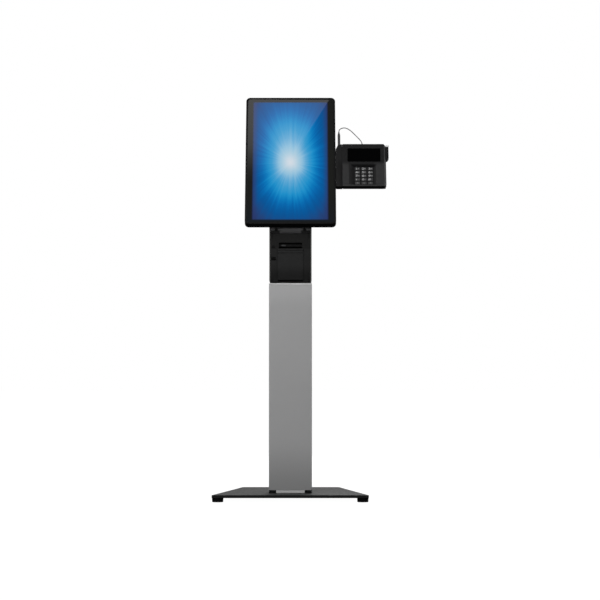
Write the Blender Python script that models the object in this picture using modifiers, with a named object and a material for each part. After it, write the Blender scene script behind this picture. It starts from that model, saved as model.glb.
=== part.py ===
"""Self-service kiosk with a card payment terminal, modelled at full size in metres.

+X is the right-hand side of someone facing the screen's front, +Y is the back, +Z is up.
The origin is the centre of the footprint, on the floor.
"""
import math

import bmesh
import bpy
from mathutils import Matrix, Vector

# ---------------------------------------------------------------- driving sizes
GAP = 0.0003                       # clearance between neighbouring pieces

SHIFT_X, SHIFT_Y = 0.0388, 0.1210  # column's front centre to the middle of the footprint

FOOT_R_TOP, FOOT_R_BOTTOM, FOOT_H = 0.0195, 0.0188, 0.0140
PLATE_T = 0.0100
PLATE_Z0 = FOOT_H + GAP
PLATE_Z1 = PLATE_Z0 + PLATE_T
PLATE_OUTLINE = ((0.266, -0.120), (0.188, 0.287), (0.176, 0.354), (0.168, 0.362))
FRONT_FOOT = (0.2460, -0.1000)
REAR_FOOT = (0.1560, 0.3370)
STUD_R = 0.0050

COL_HALF, COL_DEPTH, COL_WALL = 0.0742, 0.0850, 0.0020
FLANGE_Z0, FLANGE_Z1 = PLATE_Z1 + GAP, 0.0340
COL_Z0, COL_Z1 = 0.0343, 0.7405
CAP_Z0, CAP_Z1 = 0.7408, 0.7468
BOLT_XY = (0.0615, 0.0125)

HEAD_HALF, HEAD_SHEET = 0.0732, 0.0030
HEAD_Z0, HEAD_Z1 = 0.7471, 0.9445
HEAD_Y0, HEAD_Y1 = 0.0040, 0.1290
CASE_HALF = 0.0699
CASE_Y0, CASE_Y1 = 0.0070, 0.1240
CASE_Z0, CASE_Z1 = 0.7505, 0.9190
DOOR_HALF = 0.0435
DOOR_AXIS = (0.0060, 0.7588)       # Y, Z
PLATEN_AXIS, PLATEN_R, PLATEN_SHAFT = (0.0250, 0.8510), 0.0080, 0.0030
ROLL_AXIS, ROLL_R, ROLL_CORE = (0.0720, 0.7990), 0.0360, 0.0075
ROLL_HALF = 0.0398

TILT = math.radians(24.757)        # the screen leans back from upright
FRAME_Y, FRAME_Z = -0.0300, 0.9502 # lower front edge of the display at its centre
HINGE = (0.0660, 0.2450)           # display hinge axis, local y and z
PIN_R, PIN_HOLE = 0.0040, 0.0041

BEZEL_HALF, BEZEL_H, BEZEL_T = 0.15775, 0.5126, 0.0275
RIM = 0.0062
HOUSING = (-0.1300, 0.1300, 0.0278, 0.0500, 0.0300, 0.4826)

TERM_X0, TERM_X1 = 0.1812, 0.3342
TERM_Z0, TERM_Z1 = 0.1500, 0.3207
TERM_SHELL = 0.0225
PIVOT = (0.0630, 0.2295)           # terminal hinge axis, local y and z
PIVOT_X = 0.2445
KEY_W, KEY_H, KEY_Y0, KEY_Y1 = 0.0178, 0.0108, 0.0050, 0.0100
KEY_X = (0.2335, 0.2560, 0.2785)
KEY_Z = (0.2228, 0.2083, 0.1938, 0.1793, 0.1648)
KEY_NAMES = (("key_1", "key_2", "key_3"),
             ("key_4", "key_5", "key_6"),
             ("key_7", "key_8", "key_9"),
             ("key_star", "key_0", "key_hash"),
             ("key_cancel", "key_clear", "key_enter"))
STYLUS_X, STYLUS_Y, STYLUS_R = 0.1703, 0.0135, 0.0046
STYLUS_Z0, STYLUS_Z1 = 0.2320, 0.3705
CARD_Y0, CARD_Y1 = 0.0152, 0.0210  # chip card mouth, flared
THROAT_Y0, THROAT_Y1 = 0.0170, 0.0192

TETHER_R = 0.0017
TETHER_ROUTE = ((0.1703, 0.0135, 0.3708), (0.1704, 0.0136, 0.3785), (0.1722, 0.0142, 0.3865),
                (0.1765, 0.0148, 0.3915), (0.1830, 0.0155, 0.3950), (0.1895, 0.0165, 0.3965),
                (0.1966, 0.0178, 0.3958), (0.2053, 0.0195, 0.3922), (0.2141, 0.0215, 0.3858),
                (0.2245, 0.0240, 0.3758), (0.2349, 0.0268, 0.3655), (0.2440, 0.0295, 0.3560),
                (0.2500, 0.0318, 0.3475), (0.2530, 0.0333, 0.3370), (0.2535, 0.0340, 0.3250),
                (0.2535, 0.0340, 0.3128))

# ---------------------------------------------------------------- scene
for old in list(bpy.data.objects):
    bpy.data.objects.remove(old, do_unlink=True)

scene = bpy.context.scene
parts = bpy.data.collections.new("payment_kiosk")
scene.collection.children.link(parts)
tools = bpy.data.collections.new("cutters")
scene.collection.children.link(tools)


def material(name, colour, roughness, metallic=0.0):
    mat = bpy.data.materials.new(name)
    mat.use_nodes = True
    bsdf = mat.node_tree.nodes["Principled BSDF"]
    bsdf.inputs["Base Color"].default_value = (*colour, 1.0)
    bsdf.inputs["Roughness"].default_value = roughness
    bsdf.inputs["Metallic"].default_value = metallic
    return mat


M = {
    "plate": material("plate_steel", (0.060, 0.062, 0.066), 0.45, 0.4),
    "rubber": material("foot_rubber", (0.012, 0.012, 0.013), 0.80),
    "silver": material("silver_powder_coat", (0.33, 0.34, 0.35), 0.40, 0.6),
    "bright": material("bright_steel", (0.55, 0.56, 0.57), 0.30, 1.0),
    "black_bolt": material("black_oxide", (0.015, 0.015, 0.016), 0.45, 0.8),
    "black_sheet": material("black_sheet", (0.022, 0.022, 0.024), 0.45, 0.3),
    "black_plastic": material("black_plastic", (0.018, 0.018, 0.020), 0.50),
    "dark_plastic": material("dark_plastic", (0.030, 0.030, 0.033), 0.45),
    "gloss": material("black_gloss", (0.006, 0.006, 0.007), 0.08),
    "glass": material("display_glass", (0.010, 0.040, 0.110), 0.04),
    "panel": material("panel_grey", (0.20, 0.21, 0.22), 0.40, 0.5),
    "board": material("board_green", (0.020, 0.110, 0.050), 0.50),
    "paper": material("paper_white", (0.86, 0.86, 0.83), 0.85),
    "grey_rubber": material("platen_rubber", (0.045, 0.045, 0.048), 0.75),
    "key": material("key_rubber", (0.035, 0.035, 0.038), 0.60),
    "stylus": material("stylus_plastic", (0.030, 0.030, 0.032), 0.40),
    "tether": material("tether_grey", (0.180, 0.180, 0.185), 0.55),
}


class Frame:
    """An empty, with the position its children are measured from."""

    def __init__(self, name, parent=None, at=(0, 0, 0), rotation=(0, 0, 0)):
        self.empty = bpy.data.objects.new(name, None)
        parts.objects.link(self.empty)
        self.origin = Vector(at)
        self.empty.rotation_euler = rotation
        if parent is None:
            self.empty.location = at
        else:
            self.empty.parent = parent.empty
            self.empty.location = self.origin - parent.origin


def settle(obj, frame, origin):
    """Give an object built in its frame's coordinates an origin of its own."""
    origin = Vector(origin)
    obj.data.transform(Matrix.Translation(-origin))
    obj.parent = frame.empty
    obj.location = origin - frame.origin
    return obj


def publish(obj, name, mat, smooth=False):
    obj.name = name
    obj.data.name = name
    for owner in list(obj.users_collection):
        owner.objects.unlink(obj)
    parts.objects.link(obj)
    obj.data.materials.clear()
    obj.data.materials.append(M[mat])
    if smooth:
        for poly in obj.data.polygons:
            poly.use_smooth = True
    return obj


def as_tool(obj):
    for owner in list(obj.users_collection):
        owner.objects.unlink(obj)
    tools.objects.link(obj)
    obj.hide_render = True
    obj.display_type = 'WIRE'
    return obj


def mesh_object(bm, name):
    mesh = bpy.data.meshes.new(name)
    bmesh.ops.recalc_face_normals(bm, faces=bm.faces)
    bm.to_mesh(mesh)
    bm.free()
    obj = bpy.data.objects.new(name, mesh)
    scene.collection.objects.link(obj)
    return obj


def add_cube(bm, x0, x1, y0, y1, z0, z1):
    made = bmesh.ops.create_cube(bm, size=1.0)
    size = Vector((x1 - x0, y1 - y0, z1 - z0))
    centre = Vector(((x0 + x1) / 2, (y0 + y1) / 2, (z0 + z1) / 2))
    bmesh.ops.scale(bm, vec=size, verts=made["verts"])
    bmesh.ops.translate(bm, vec=centre, verts=made["verts"])
    return made["verts"]


def blocks(name, boxes):
    bm = bmesh.new()
    for b in boxes:
        add_cube(bm, *b)
    return mesh_object(bm, name)


AXIS_TURN = {'X': Matrix.Rotation(math.pi / 2, 4, 'Y'),
             'Y': Matrix.Rotation(-math.pi / 2, 4, 'X'),
             'Z': Matrix.Identity(4)}


def add_rod(bm, r0, r1, length, centre, axis, sides=32):
    """A cylinder or cone: r0 at the low end of its axis, r1 at the high end."""
    turn = Matrix.Translation(Vector(centre)) @ AXIS_TURN[axis]
    bmesh.ops.create_cone(bm, cap_ends=True, segments=sides, radius1=r0, radius2=r1,
                          depth=length, matrix=turn)


def rod(name, r, length, centre, axis, sides=32, r_high=None):
    bm = bmesh.new()
    add_rod(bm, r, r if r_high is None else r_high, length, centre, axis, sides)
    return mesh_object(bm, name)


def rods(name, items):
    bm = bmesh.new()
    for item in items:
        add_rod(bm, *item)
    return mesh_object(bm, name)


def bevel(obj, width, segments=2, angle=30.0):
    mod = obj.modifiers.new("edges", 'BEVEL')
    mod.width = width
    mod.segments = segments
    mod.limit_method = 'ANGLE'
    mod.angle_limit = math.radians(angle)
    return obj


def boolean(obj, operand, operation='DIFFERENCE'):
    mod = obj.modifiers.new(operation.lower(), 'BOOLEAN')
    mod.operation = operation
    mod.solver = 'EXACT'
    mod.object = operand
    return obj


def arc(cx, cy, r, a0, a1, steps):
    return [(cx + r * math.cos(math.radians(a0 + (a1 - a0) * i / steps)),
             cy + r * math.sin(math.radians(a0 + (a1 - a0) * i / steps))) for i in range(steps + 1)]


def rounded_outline(x0, x1, y0, y1, r, steps=4):
    return (arc(x1 - r, y0 + r, r, -90, 0, steps) + arc(x1 - r, y1 - r, r, 0, 90, steps)
            + arc(x0 + r, y1 - r, r, 90, 180, steps) + arc(x0 + r, y0 + r, r, 180, 270, steps))


PLANE_TURN = {  # outline plane -> how the extruded curve is turned; the extrusion runs along the third axis
    'XY': Matrix.Identity(4),
    'XZ': Matrix(((1, 0, 0, 0), (0, 0, -1, 0), (0, 1, 0, 0), (0, 0, 0, 1))),
    'YZ': Matrix(((0, 0, 1, 0), (1, 0, 0, 0), (0, 1, 0, 0), (0, 0, 0, 1))),
}


def slab(name, outlines, plane, low, high):
    """A flat outline (a list of point rings) given a thickness from low to high, as a mesh."""
    curve = bpy.data.curves.new(name + "_outline", 'CURVE')
    curve.dimensions = '2D'
    curve.fill_mode = 'BOTH'
    curve.extrude = (high - low) / 2
    curve.resolution_u = 1
    for ring in outlines:
        spline = curve.splines.new('POLY')
        spline.points.add(len(ring) - 1)
        for point, (a, b) in zip(spline.points, ring):
            point.co = (a, b, 0, 1)
        spline.use_cyclic_u = True
    holder = bpy.data.objects.new(name + "_outline", curve)
    scene.collection.objects.link(holder)
    bpy.context.view_layer.update()
    mesh = bpy.data.meshes.new_from_object(holder.evaluated_get(bpy.context.evaluated_depsgraph_get()))
    bpy.data.objects.remove(holder, do_unlink=True)
    bpy.data.curves.remove(curve)
    mesh.name = name
    middle = (low + high) / 2
    shift = {'XY': (0, 0, middle), 'XZ': (0, middle, 0), 'YZ': (middle, 0, 0)}[plane]
    bm = bmesh.new()
    bm.from_mesh(mesh)
    bpy.data.meshes.remove(mesh)
    bmesh.ops.remove_doubles(bm, verts=bm.verts, dist=0.000002)
    bmesh.ops.dissolve_limit(bm, angle_limit=0.001, verts=bm.verts, edges=bm.edges)
    bmesh.ops.transform(bm, matrix=Matrix.Translation(shift) @ PLANE_TURN[plane], verts=bm.verts)
    return mesh_object(bm, name)


def turned(name, profile, centre, axis='Z', steps=32):
    """A turned solid: profile points are (radius, height), run down the outer side from top to bottom."""
    bm = bmesh.new()
    verts = [bm.verts.new((r, 0, h)) for r, h in profile]
    for a, b in zip(verts, verts[1:]):
        bm.edges.new((a, b))
    mesh = bpy.data.meshes.new(name)
    bm.to_mesh(mesh)
    bm.free()
    obj = bpy.data.objects.new(name, mesh)
    scene.collection.objects.link(obj)
    screw = obj.modifiers.new("turn", 'SCREW')
    screw.axis = 'Z'
    screw.steps = steps
    screw.render_steps = steps
    screw.use_merge_vertices = True
    screw.merge_threshold = 0.00001
    screw.use_normal_calculate = False
    obj["turn_axis"] = axis
    obj["turn_centre"] = centre
    return obj


# ---------------------------------------------------------------- frames
root = Frame("kiosk_frame")
root.empty.location = (-SHIFT_X, -SHIFT_Y, 0)


def display_to_stand(y, z):
    """Display coordinates (y, z) as column coordinates (Y, Z)."""
    return (FRAME_Y + y * math.cos(TILT) + z * math.sin(TILT),
            FRAME_Z - y * math.sin(TILT) + z * math.cos(TILT))


HINGE_Y, HINGE_Z = display_to_stand(*HINGE)
hinge_empty = Frame("display_tilt_axis", root, at=(0, HINGE_Y, HINGE_Z), rotation=(-TILT, 0, 0))
display = Frame.__new__(Frame)
display.empty, display.origin = hinge_empty.empty, Vector((0, HINGE[0], HINGE[1]))
terminal = Frame("terminal_tilt_axis", display, at=(PIVOT_X, PIVOT[0], PIVOT[1]))
door = Frame("door_axis", root, at=(0, DOOR_AXIS[0], DOOR_AXIS[1]))


def place_turned(obj, frame, centre, rotation=(0, 0, 0)):
    obj.parent = frame.empty
    obj.location = Vector(centre) - frame.origin
    obj.rotation_euler = rotation
    return obj


# ---------------------------------------------------------------- base
outline = [(x, y) for x, y in PLATE_OUTLINE] + [(-x, y) for x, y in reversed(PLATE_OUTLINE)]
plate = slab("base_plate", [outline], 'XY', PLATE_Z0, PLATE_Z1)
foot_places = {"foot_front_left": (-FRONT_FOOT[0], FRONT_FOOT[1]), "foot_front_right": FRONT_FOOT,
               "foot_rear_left": (-REAR_FOOT[0], REAR_FOOT[1]), "foot_rear_right": REAR_FOOT}
sockets = [(STUD_R + GAP, STUD_R + GAP, 0.0124, (x, y, PLATE_Z0), 'Z', 24) for x, y in foot_places.values()]
sockets += [(0.0053, 0.0053, 0.0124, (s * BOLT_XY[0], BOLT_XY[1], PLATE_Z1), 'Z', 24) for s in (-1, 1)]
sockets = rods("plate_sockets", sockets)
bevel(plate, 0.0008, 2)
settle(plate, root, (0, 0.12, PLATE_Z0))
settle(as_tool(sockets), root, (0, 0, 0))
boolean(plate, sockets)
publish(plate, "base_plate", "plate")

for name, (x, y) in foot_places.items():
    pad = turned(name, [(0, FOOT_H + 0.0056), (STUD_R, FOOT_H + 0.0056), (STUD_R, FOOT_H),
                        (FOOT_R_TOP - 0.0010, FOOT_H), (FOOT_R_TOP, FOOT_H - 0.0010),
                        (FOOT_R_BOTTOM, 0.0012), (FOOT_R_BOTTOM - 0.0012, 0), (0, 0)], (x, y, 0), steps=40)
    place_turned(pad, root, (x, y, 0))
    publish(pad, name, "rubber", smooth=True)

# ---------------------------------------------------------------- column
flange = blocks("column_foot_flange", [(-COL_HALF, COL_HALF, 0.0006, COL_DEPTH - 0.0004, FLANGE_Z0, FLANGE_Z1)])
notches = [(s * 0.0492 if s > 0 else -0.0900, 0.0900 if s > 0 else -0.0492, -0.0100, 0.0255, 0.0270, 0.0400)
           for s in (-1, 1)]
notches = blocks("flange_notches", notches)
ear_holes = rods("flange_holes", [(0.0053, 0.0053, 0.0100, (s * BOLT_XY[0], BOLT_XY[1], 0.0250), 'Z', 24)
                                  for s in (-1, 1)])
settle(flange, root, (0, 0.04, FLANGE_Z0))
for cutter in (notches, ear_holes):
    settle(as_tool(cutter), root, (0, 0, 0))
    boolean(flange, cutter)
publish(flange, "column_foot_flange", "bright")

for name, side in (("flange_bolt_left", -1), ("flange_bolt_right", 1)):
    seat = 0.0273
    bolt = turned(name, [(0, 0.0295), (0.0040, 0.0295), (0.0040, 0.0338), (0.0092, 0.0338), (0.0100, 0.0330),
                         (0.0100, 0.0296), (0.0114, 0.0296), (0.0118, 0.0292), (0.0118, seat),
                         (0.0050, seat), (0.0050, 0.0186), (0, 0.0186)],
                  (0, 0, 0), steps=32)
    place_turned(bolt, root, (side * BOLT_XY[0], BOLT_XY[1], 0))
    publish(bolt, name, "black_bolt", smooth=False)

h, d, w, r = COL_HALF, COL_DEPTH, COL_WALL, 0.0035
ring = ([(-h, d), ] + arc(-h + r, r, r, 180, 270, 4) + arc(h - r, r, r, 270, 360, 4) + [(h, d), (h - 0.012, d),
        (h - 0.012, d - w), (h - w, d - w)] + arc(h - r, r, r - w, 360, 270, 4) + arc(-h + r, r, r - w, 270, 180, 4)
        + [(-h + w, d - w), (-h + 0.012, d - w), (-h + 0.012, d)])
shell = slab("column_shell", [ring], 'XY', COL_Z0, COL_Z1)
settle(shell, root, (0, 0, COL_Z0))
publish(shell, "column_shell", "silver")

cover = slab("column_rear_cover", [[(-h + 0.0123, d), (h - 0.0123, d), (h - 0.0123, d - w - GAP), (h - w - GAP, d - w - GAP),
                                    (h - w - GAP, d - 2 * w - GAP), (-h + w + GAP, d - 2 * w - GAP),
                                    (-h + w + GAP, d - w - GAP), (-h + 0.0123, d - w - GAP)]],
             'XY', COL_Z0, COL_Z1)
settle(cover, root, (0, d, COL_Z0))
publish(cover, "column_rear_cover", "silver")

cap = blocks("column_top_cap", [(-h, h, 0.0, d, CAP_Z0, CAP_Z1)])
bevel(cap, 0.0010, 2)
settle(cap, root, (0, 0.04, CAP_Z0))
publish(cap, "column_top_cap", "bright")

# ---------------------------------------------------------------- printer head
h, t, r = HEAD_HALF, HEAD_SHEET, 0.0095
ring = ([(-h, HEAD_Z1)] + arc(-h + r, HEAD_Z0 + r, r, 180, 270, 6) + arc(h - r, HEAD_Z0 + r, r, 270, 360, 6)
        + [(h, HEAD_Z1), (h - t, HEAD_Z1)] + arc(h - r, HEAD_Z0 + r, r - t, 360, 270, 5)
        + arc(-h + r, HEAD_Z0 + r, r - t, 270, 180, 5) + [(-h + t, HEAD_Z1)])
bracket = slab("head_bracket", [ring], 'XZ', HEAD_Y0, HEAD_Y1)
settle(bracket, root, (0, HEAD_Y0, HEAD_Z0))
publish(bracket, "head_bracket", "black_sheet")

NECK_Y0, NECK_Y1 = HEAD_Y1 + GAP, HEAD_Y1 + GAP + 0.0050
NECK_TOP = HINGE_Z - 0.0130
EAR_R = 0.0095
neck = blocks("neck_plate", [(-0.0560, 0.0560, NECK_Y0, NECK_Y1, 0.7560, NECK_TOP)])
settle(neck, root, (0, NECK_Y0, 0.7560))
for s in (-1, 1):
    ear = slab("neck_ear", [[(HINGE_Y - EAR_R, HINGE_Z), (HINGE_Y - 0.0050, NECK_TOP - 0.0200),
                             (HINGE_Y + 0.0050, NECK_TOP - 0.0200)] + arc(HINGE_Y, HINGE_Z, EAR_R, 0, 165, 11)],
               'YZ', 0.0352 if s > 0 else -0.0480, 0.0480 if s > 0 else -0.0352)
    settle(as_tool(ear), root, (0, 0, 0))
    boolean(neck, ear, 'UNION')
bore = rod("neck_bore", PIN_HOLE, 0.1300, (0, HINGE_Y, HINGE_Z), 'X')
settle(as_tool(bore), root, (0, 0, 0))
boolean(neck, bore)
publish(neck, "neck_plate", "black_sheet")

pin = turned("hinge_pin", [(0, 0.0540), (0.0060, 0.0540), (0.0070, 0.0530), (0.0070, 0.0484), (PIN_R, 0.0484),
                           (PIN_R, -0.0484), (0.0070, -0.0484), (0.0070, -0.0530), (0.0060, -0.0540), (0, -0.0540)],
             (0, 0, 0))
place_turned(pin, root, (0, HINGE_Y, HINGE_Z), (0, math.pi / 2, 0))
publish(pin, "hinge_pin", "bright", smooth=False)

# printer case: a hollow box with a thick upper front, a door opening, a paper mouth and two roll bosses
case = slab("printer_case",
            [arc(-CASE_HALF + 0.0075, CASE_Z0 + 0.0075, 0.0075, 180, 270, 5)
             + arc(CASE_HALF - 0.0075, CASE_Z0 + 0.0075, 0.0075, 270, 360, 5)
             + [(CASE_HALF, CASE_Z1), (-CASE_HALF, CASE_Z1)]], 'XZ', CASE_Y0, CASE_Y1)
bevel(case, 0.0008, 2)
settle(case, root, (0, CASE_Y0, CASE_Z0))
hollow = blocks("case_hollow", [(-CASE_HALF + 0.0025, CASE_HALF - 0.0025, CASE_Y0 + 0.0100, CASE_Y1 - 0.0025,
                                 CASE_Z0 + 0.0025, CASE_Z1 - 0.0030)])
mouth_wall = blocks("case_openings", [(-0.0439, 0.0439, -0.0100, 0.0200, 0.7532, 0.8660),
                                      (-0.0661, -0.0495, -0.0100, 0.0200, 0.8268, 0.8380)])
recess = slab("receipt_recess", [[(-0.0100, 0.8674), (CASE_Y0 + 0.0080, 0.8674), (CASE_Y0 + 0.0080, 0.8820),
                                  (CASE_Y0 + 0.0040, 0.8876), (-0.0100, 0.8876)]], 'YZ', -0.0402, 0.0402)
throat = blocks("receipt_throat", [(-0.0410, 0.0410, 0.0100, 0.0200, 0.8690, 0.8740)])
feed_hole = rod("feed_hole", 0.0053, 0.0400, (-0.0585, 0.0080, 0.8730), 'Y', 24)
for cutter in (hollow, mouth_wall, recess, throat, feed_hole):
    settle(as_tool(cutter), root, (0, 0, 0))
    boolean(case, cutter)
for s in (-1, 1):
    boss = rod("roll_boss", ROLL_CORE - 0.0008, 0.0320, (s * 0.0530, ROLL_AXIS[0], ROLL_AXIS[1]), 'X')
    settle(as_tool(boss), root, (0, 0, 0))
    boolean(case, boss, 'UNION')
publish(case, "printer_case", "dark_plastic")

head = slab("print_head", [[(0.0345, 0.8420), (0.0345, 0.8580), (0.0370, 0.8620), (0.0540, 0.8620), (0.0540, 0.8420)]],
            'YZ', -0.0400, 0.0400)
stalk = blocks("print_head_stalk", [(-0.0150, 0.0150, 0.0420, 0.0520, 0.8600, 0.9157)])
settle(head, root, (0, 0.0345, 0.8420))
settle(as_tool(stalk), root, (0, 0, 0))
boolean(head, stalk, 'UNION')
publish(head, "print_head", "panel")

# clamp bar across the bracket's mouth
bar = blocks("printer_clamp_bar", [(-0.0699, 0.0699, 0.0060, 0.0130, 0.9193, 0.9440)])
raised = blocks("clamp_bar_pad", [(-0.0335, 0.0365, 0.0045, 0.0070, 0.9215, 0.9430)])
seats = rods("clamp_seats", [(0.0029, 0.0029, 0.0200, (s * 0.0491, 0.0095, 0.9323), 'Y', 24) for s in (-1, 1)])
settle(bar, root, (0, 0.0060, 0.9193))
settle(as_tool(raised), root, (0, 0, 0))
settle(as_tool(seats), root, (0, 0, 0))
boolean(bar, raised, 'UNION')
boolean(bar, seats)
publish(bar, "printer_clamp_bar", "black_sheet")
for name, s in (("clamp_screw_left", -1), ("clamp_screw_right", 1)):
    screw = turned(name, [(0, 0.0012), (0.0016, 0.0012), (0.0016, 0.0030), (0.0032, 0.0030), (0.0050, 0.0016),
                          (0.0052, 0.0003), (0.0025, 0.0003), (0.0025, -0.0066), (0, -0.0066)], (0, 0, 0), steps=24)
    place_turned(screw, root, (s * 0.0491, 0.0060, 0.9323), (math.pi / 2, 0, 0))
    publish(screw, name, "black_bolt", smooth=False)

# door with its two platen ears, hinged along its rounded lower edge
dy, dz = DOOR_AXIS
panel = slab("printer_door",
             [arc(dy, dz, 0.0015, 180, 360, 6)
              + [(0.0075, 0.8655), (0.0038, 0.8655), (0.0030, 0.8648), (0.0030, 0.8612), (0.0045, 0.8600),
                 (0.0045, 0.8527), (0.0060, 0.8512), (0.0045, 0.8497)]],
             'YZ', -DOOR_HALF, DOOR_HALF)
settle(panel, door, (0, dy, dz))
for s in (-1, 1):
    ear = slab("platen_ear", [[(0.0070, 0.8300), (0.0200, 0.8380)]
                              + arc(PLATEN_AXIS[0], PLATEN_AXIS[1], 0.0072, -60, 90, 8) + [(0.0070, 0.8590)]],
               'YZ', 0.0404 if s > 0 else -0.0431, 0.0431 if s > 0 else -0.0404)
    settle(as_tool(ear), door, (0, dy, dz))
    boolean(panel, ear, 'UNION')
bore = rod("platen_bore", PLATEN_SHAFT + 0.00008, 0.1000, (0, PLATEN_AXIS[0], PLATEN_AXIS[1]), 'X', 32)
settle(as_tool(bore), door, (0, dy, dz))
boolean(panel, bore)
publish(panel, "printer_door", "dark_plastic")

platen = turned("platen_roller", [(0, 0.0429), (PLATEN_SHAFT, 0.0429), (PLATEN_SHAFT, 0.0400), (PLATEN_R, 0.0400),
                                  (PLATEN_R, -0.0400), (PLATEN_SHAFT, -0.0400), (PLATEN_SHAFT, -0.0429), (0, -0.0429)],
                (0, 0, 0), steps=32)
place_turned(platen, door, (0, PLATEN_AXIS[0], PLATEN_AXIS[1]), (0, math.pi / 2, 0))
publish(platen, "platen_roller", "grey_rubber")

paper = rod("paper_roll", ROLL_R, 2 * ROLL_HALF, (0, ROLL_AXIS[0], ROLL_AXIS[1]), 'X', 48)
core = rod("roll_core", ROLL_CORE, 0.1000, (0, ROLL_AXIS[0], ROLL_AXIS[1]), 'X', 32)
settle(paper, root, (0, ROLL_AXIS[0], ROLL_AXIS[1]))
settle(as_tool(core), root, (0, 0, 0))
boolean(paper, core)
publish(paper, "paper_roll", "paper")

release = blocks("printer_release_button", [(-0.0658, -0.0498, 0.0050, 0.0140, 0.8271, 0.8377)])
bevel(release, 0.0008, 2)
settle(release, root, (-0.0578, 0.0050, 0.8324))
publish(release, "printer_release_button", "gloss")
feed = turned("printer_feed_button", [(0, 0.0015), (0.0040, 0.0012), (0.0050, 0.0004), (0.0050, -0.0080), (0, -0.0080)],
              (0, 0, 0), steps=28)
place_turned(feed, root, (-0.0585, 0.0060, 0.8730), (math.pi / 2, 0, 0))
publish(feed, "printer_feed_button", "black_plastic", smooth=False)

# ---------------------------------------------------------------- display
bezel = slab("display_bezel", [rounded_outline(-BEZEL_HALF, BEZEL_HALF, 0, BEZEL_H, 0.0145, 7)], 'XZ', 0.0, BEZEL_T)
settle(bezel, display, (0, 0, 0))
bevel(bezel, 0.0016, 3)
pocket = slab("glass_pocket", [rounded_outline(-BEZEL_HALF + RIM, BEZEL_HALF - RIM, RIM, BEZEL_H - RIM, 0.0100, 6)],
              'XZ', -0.0100, BEZEL_T - 0.0030)
window = blocks("bezel_back_opening", [(-0.1210, 0.1210, 0.0200, 0.0400, 0.0400, 0.4726)])
for cutter in (pocket, window):
    settle(as_tool(cutter), display, (0, 0, 0))
    boolean(bezel, cutter)
publish(bezel, "display_bezel", "gloss")

g = RIM + GAP
glass = slab("touch_glass", [rounded_outline(-BEZEL_HALF + g, BEZEL_HALF - g, g, BEZEL_H - g, 0.0097, 6)],
             'XZ', 0.0004, 0.0034)
settle(glass, display, (0, 0, BEZEL_H / 2))
publish(glass, "touch_glass", "glass")

lcd = blocks("lcd_panel", [(-0.1420, 0.1420, 0.0037, 0.0150, 0.0140, 0.4986)])
bevel(lcd, 0.0010, 1)
settle(lcd, display, (0, 0.0037, BEZEL_H / 2))
publish(lcd, "lcd_panel", "panel")

board = blocks("display_board", [(-0.0900, 0.0900, 0.0290, 0.0306, 0.1500, 0.3600)])
sink = blocks("heat_sink", [(-0.0300, 0.0300, 0.0300, 0.0420, 0.2700, 0.3300), (-0.0800, -0.0500, 0.0300, 0.0360, 0.1600, 0.1900)])
settle(board, display, (0, 0.0290, 0.2550))
settle(as_tool(sink), display, (0, 0, 0))
boolean(board, sink, 'UNION')
publish(board, "display_board", "board")

hx0, hx1, hy0, hy1, hz0, hz1 = HOUSING
housing = slab("display_rear_housing", [rounded_outline(hx0, hx1, hz0, hz1, 0.0120, 4)], 'XZ', hy0, hy1)
settle(housing, display, (0, hy0, hz0))
bevel(housing, 0.0020, 2)
cavity = blocks("housing_cavity", [(hx0 + 0.0030, hx1 - 0.0030, 0.0100, hy1 - 0.0025, hz0 + 0.0100, hz1 - 0.0100)])
vents = [(-0.0900 + 0.0, 0.0900, hy1 - 0.0100, hy1 + 0.0100, 0.4000 + 0.0080 * i, 0.4030 + 0.0080 * i) for i in range(6)]
vents = blocks("housing_vents", vents)
for cutter in (cavity, vents):
    settle(as_tool(cutter), display, (0, 0, 0))
    boolean(housing, cutter)
publish(housing, "display_rear_housing", "black_sheet")

plate_y0, plate_y1 = hy1 + GAP, hy1 + GAP + 0.0040
mount_plate = blocks("display_bracket", [(-0.0530, 0.0530, plate_y0, plate_y1, HINGE[1] - 0.0530, HINGE[1] + 0.0530)])
settle(mount_plate, display, (0, plate_y0, HINGE[1]))
lug = slab("bracket_lug", [arc(HINGE[0], HINGE[1], 0.0085, -90, 90, 10)
                           + [(plate_y1 - 0.0010, HINGE[1] + 0.0085), (plate_y1 - 0.0010, HINGE[1] - 0.0085)]],
           'YZ', -0.0348, 0.0348)
bore = rod("lug_bore", PIN_HOLE, 0.1300, (0, HINGE[0], HINGE[1]), 'X')
settle(as_tool(lug), display, (0, 0, 0))
settle(as_tool(bore), display, (0, 0, 0))
boolean(mount_plate, lug, 'UNION')
boolean(mount_plate, bore)
publish(mount_plate, "display_bracket", "black_sheet")

# arm to the card terminal: flat bar, then a clevis around the terminal's lug
py, pz = PIVOT
arm = blocks("terminal_arm", [(0.0560, 0.2340, plate_y0 + 0.0057, plate_y0 + 0.0097, pz - 0.0150, pz + 0.0150)])
settle(arm, display, (0.0560, 0.0560, pz))
bar_y0, bar_y1 = plate_y0 + 0.0057, plate_y0 + 0.0097
clevis = [(0.2290, 0.2340), (0.2550, 0.2600)]
for x0, x1 in clevis:
    ear = slab("clevis_ear", [arc(py, pz, 0.0085, 90, 270, 10) + [(0.0780, pz - 0.0085), (0.0780, pz + 0.0085)]],
               'YZ', x0, x1)
    settle(as_tool(ear), display, (0, 0, 0))
    boolean(arm, ear, 'UNION')
bridge = blocks("clevis_bridge", [(0.2290, 0.2600, 0.0740, 0.0780, pz - 0.0085, pz + 0.0085)])
foot = blocks("arm_foot", [(0.0560, 0.0880, plate_y0, bar_y0 + 0.0010, pz - 0.0150, pz + 0.0150)])
bore = rod("clevis_bore", PIN_HOLE, 0.0600, (PIVOT_X, py, pz), 'X')
for operand, how in ((bridge, 'UNION'), (foot, 'UNION'), (bore, 'DIFFERENCE')):
    settle(as_tool(operand), display, (0, 0, 0))
    boolean(arm, operand, how)
publish(arm, "terminal_arm", "black_sheet")

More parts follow.
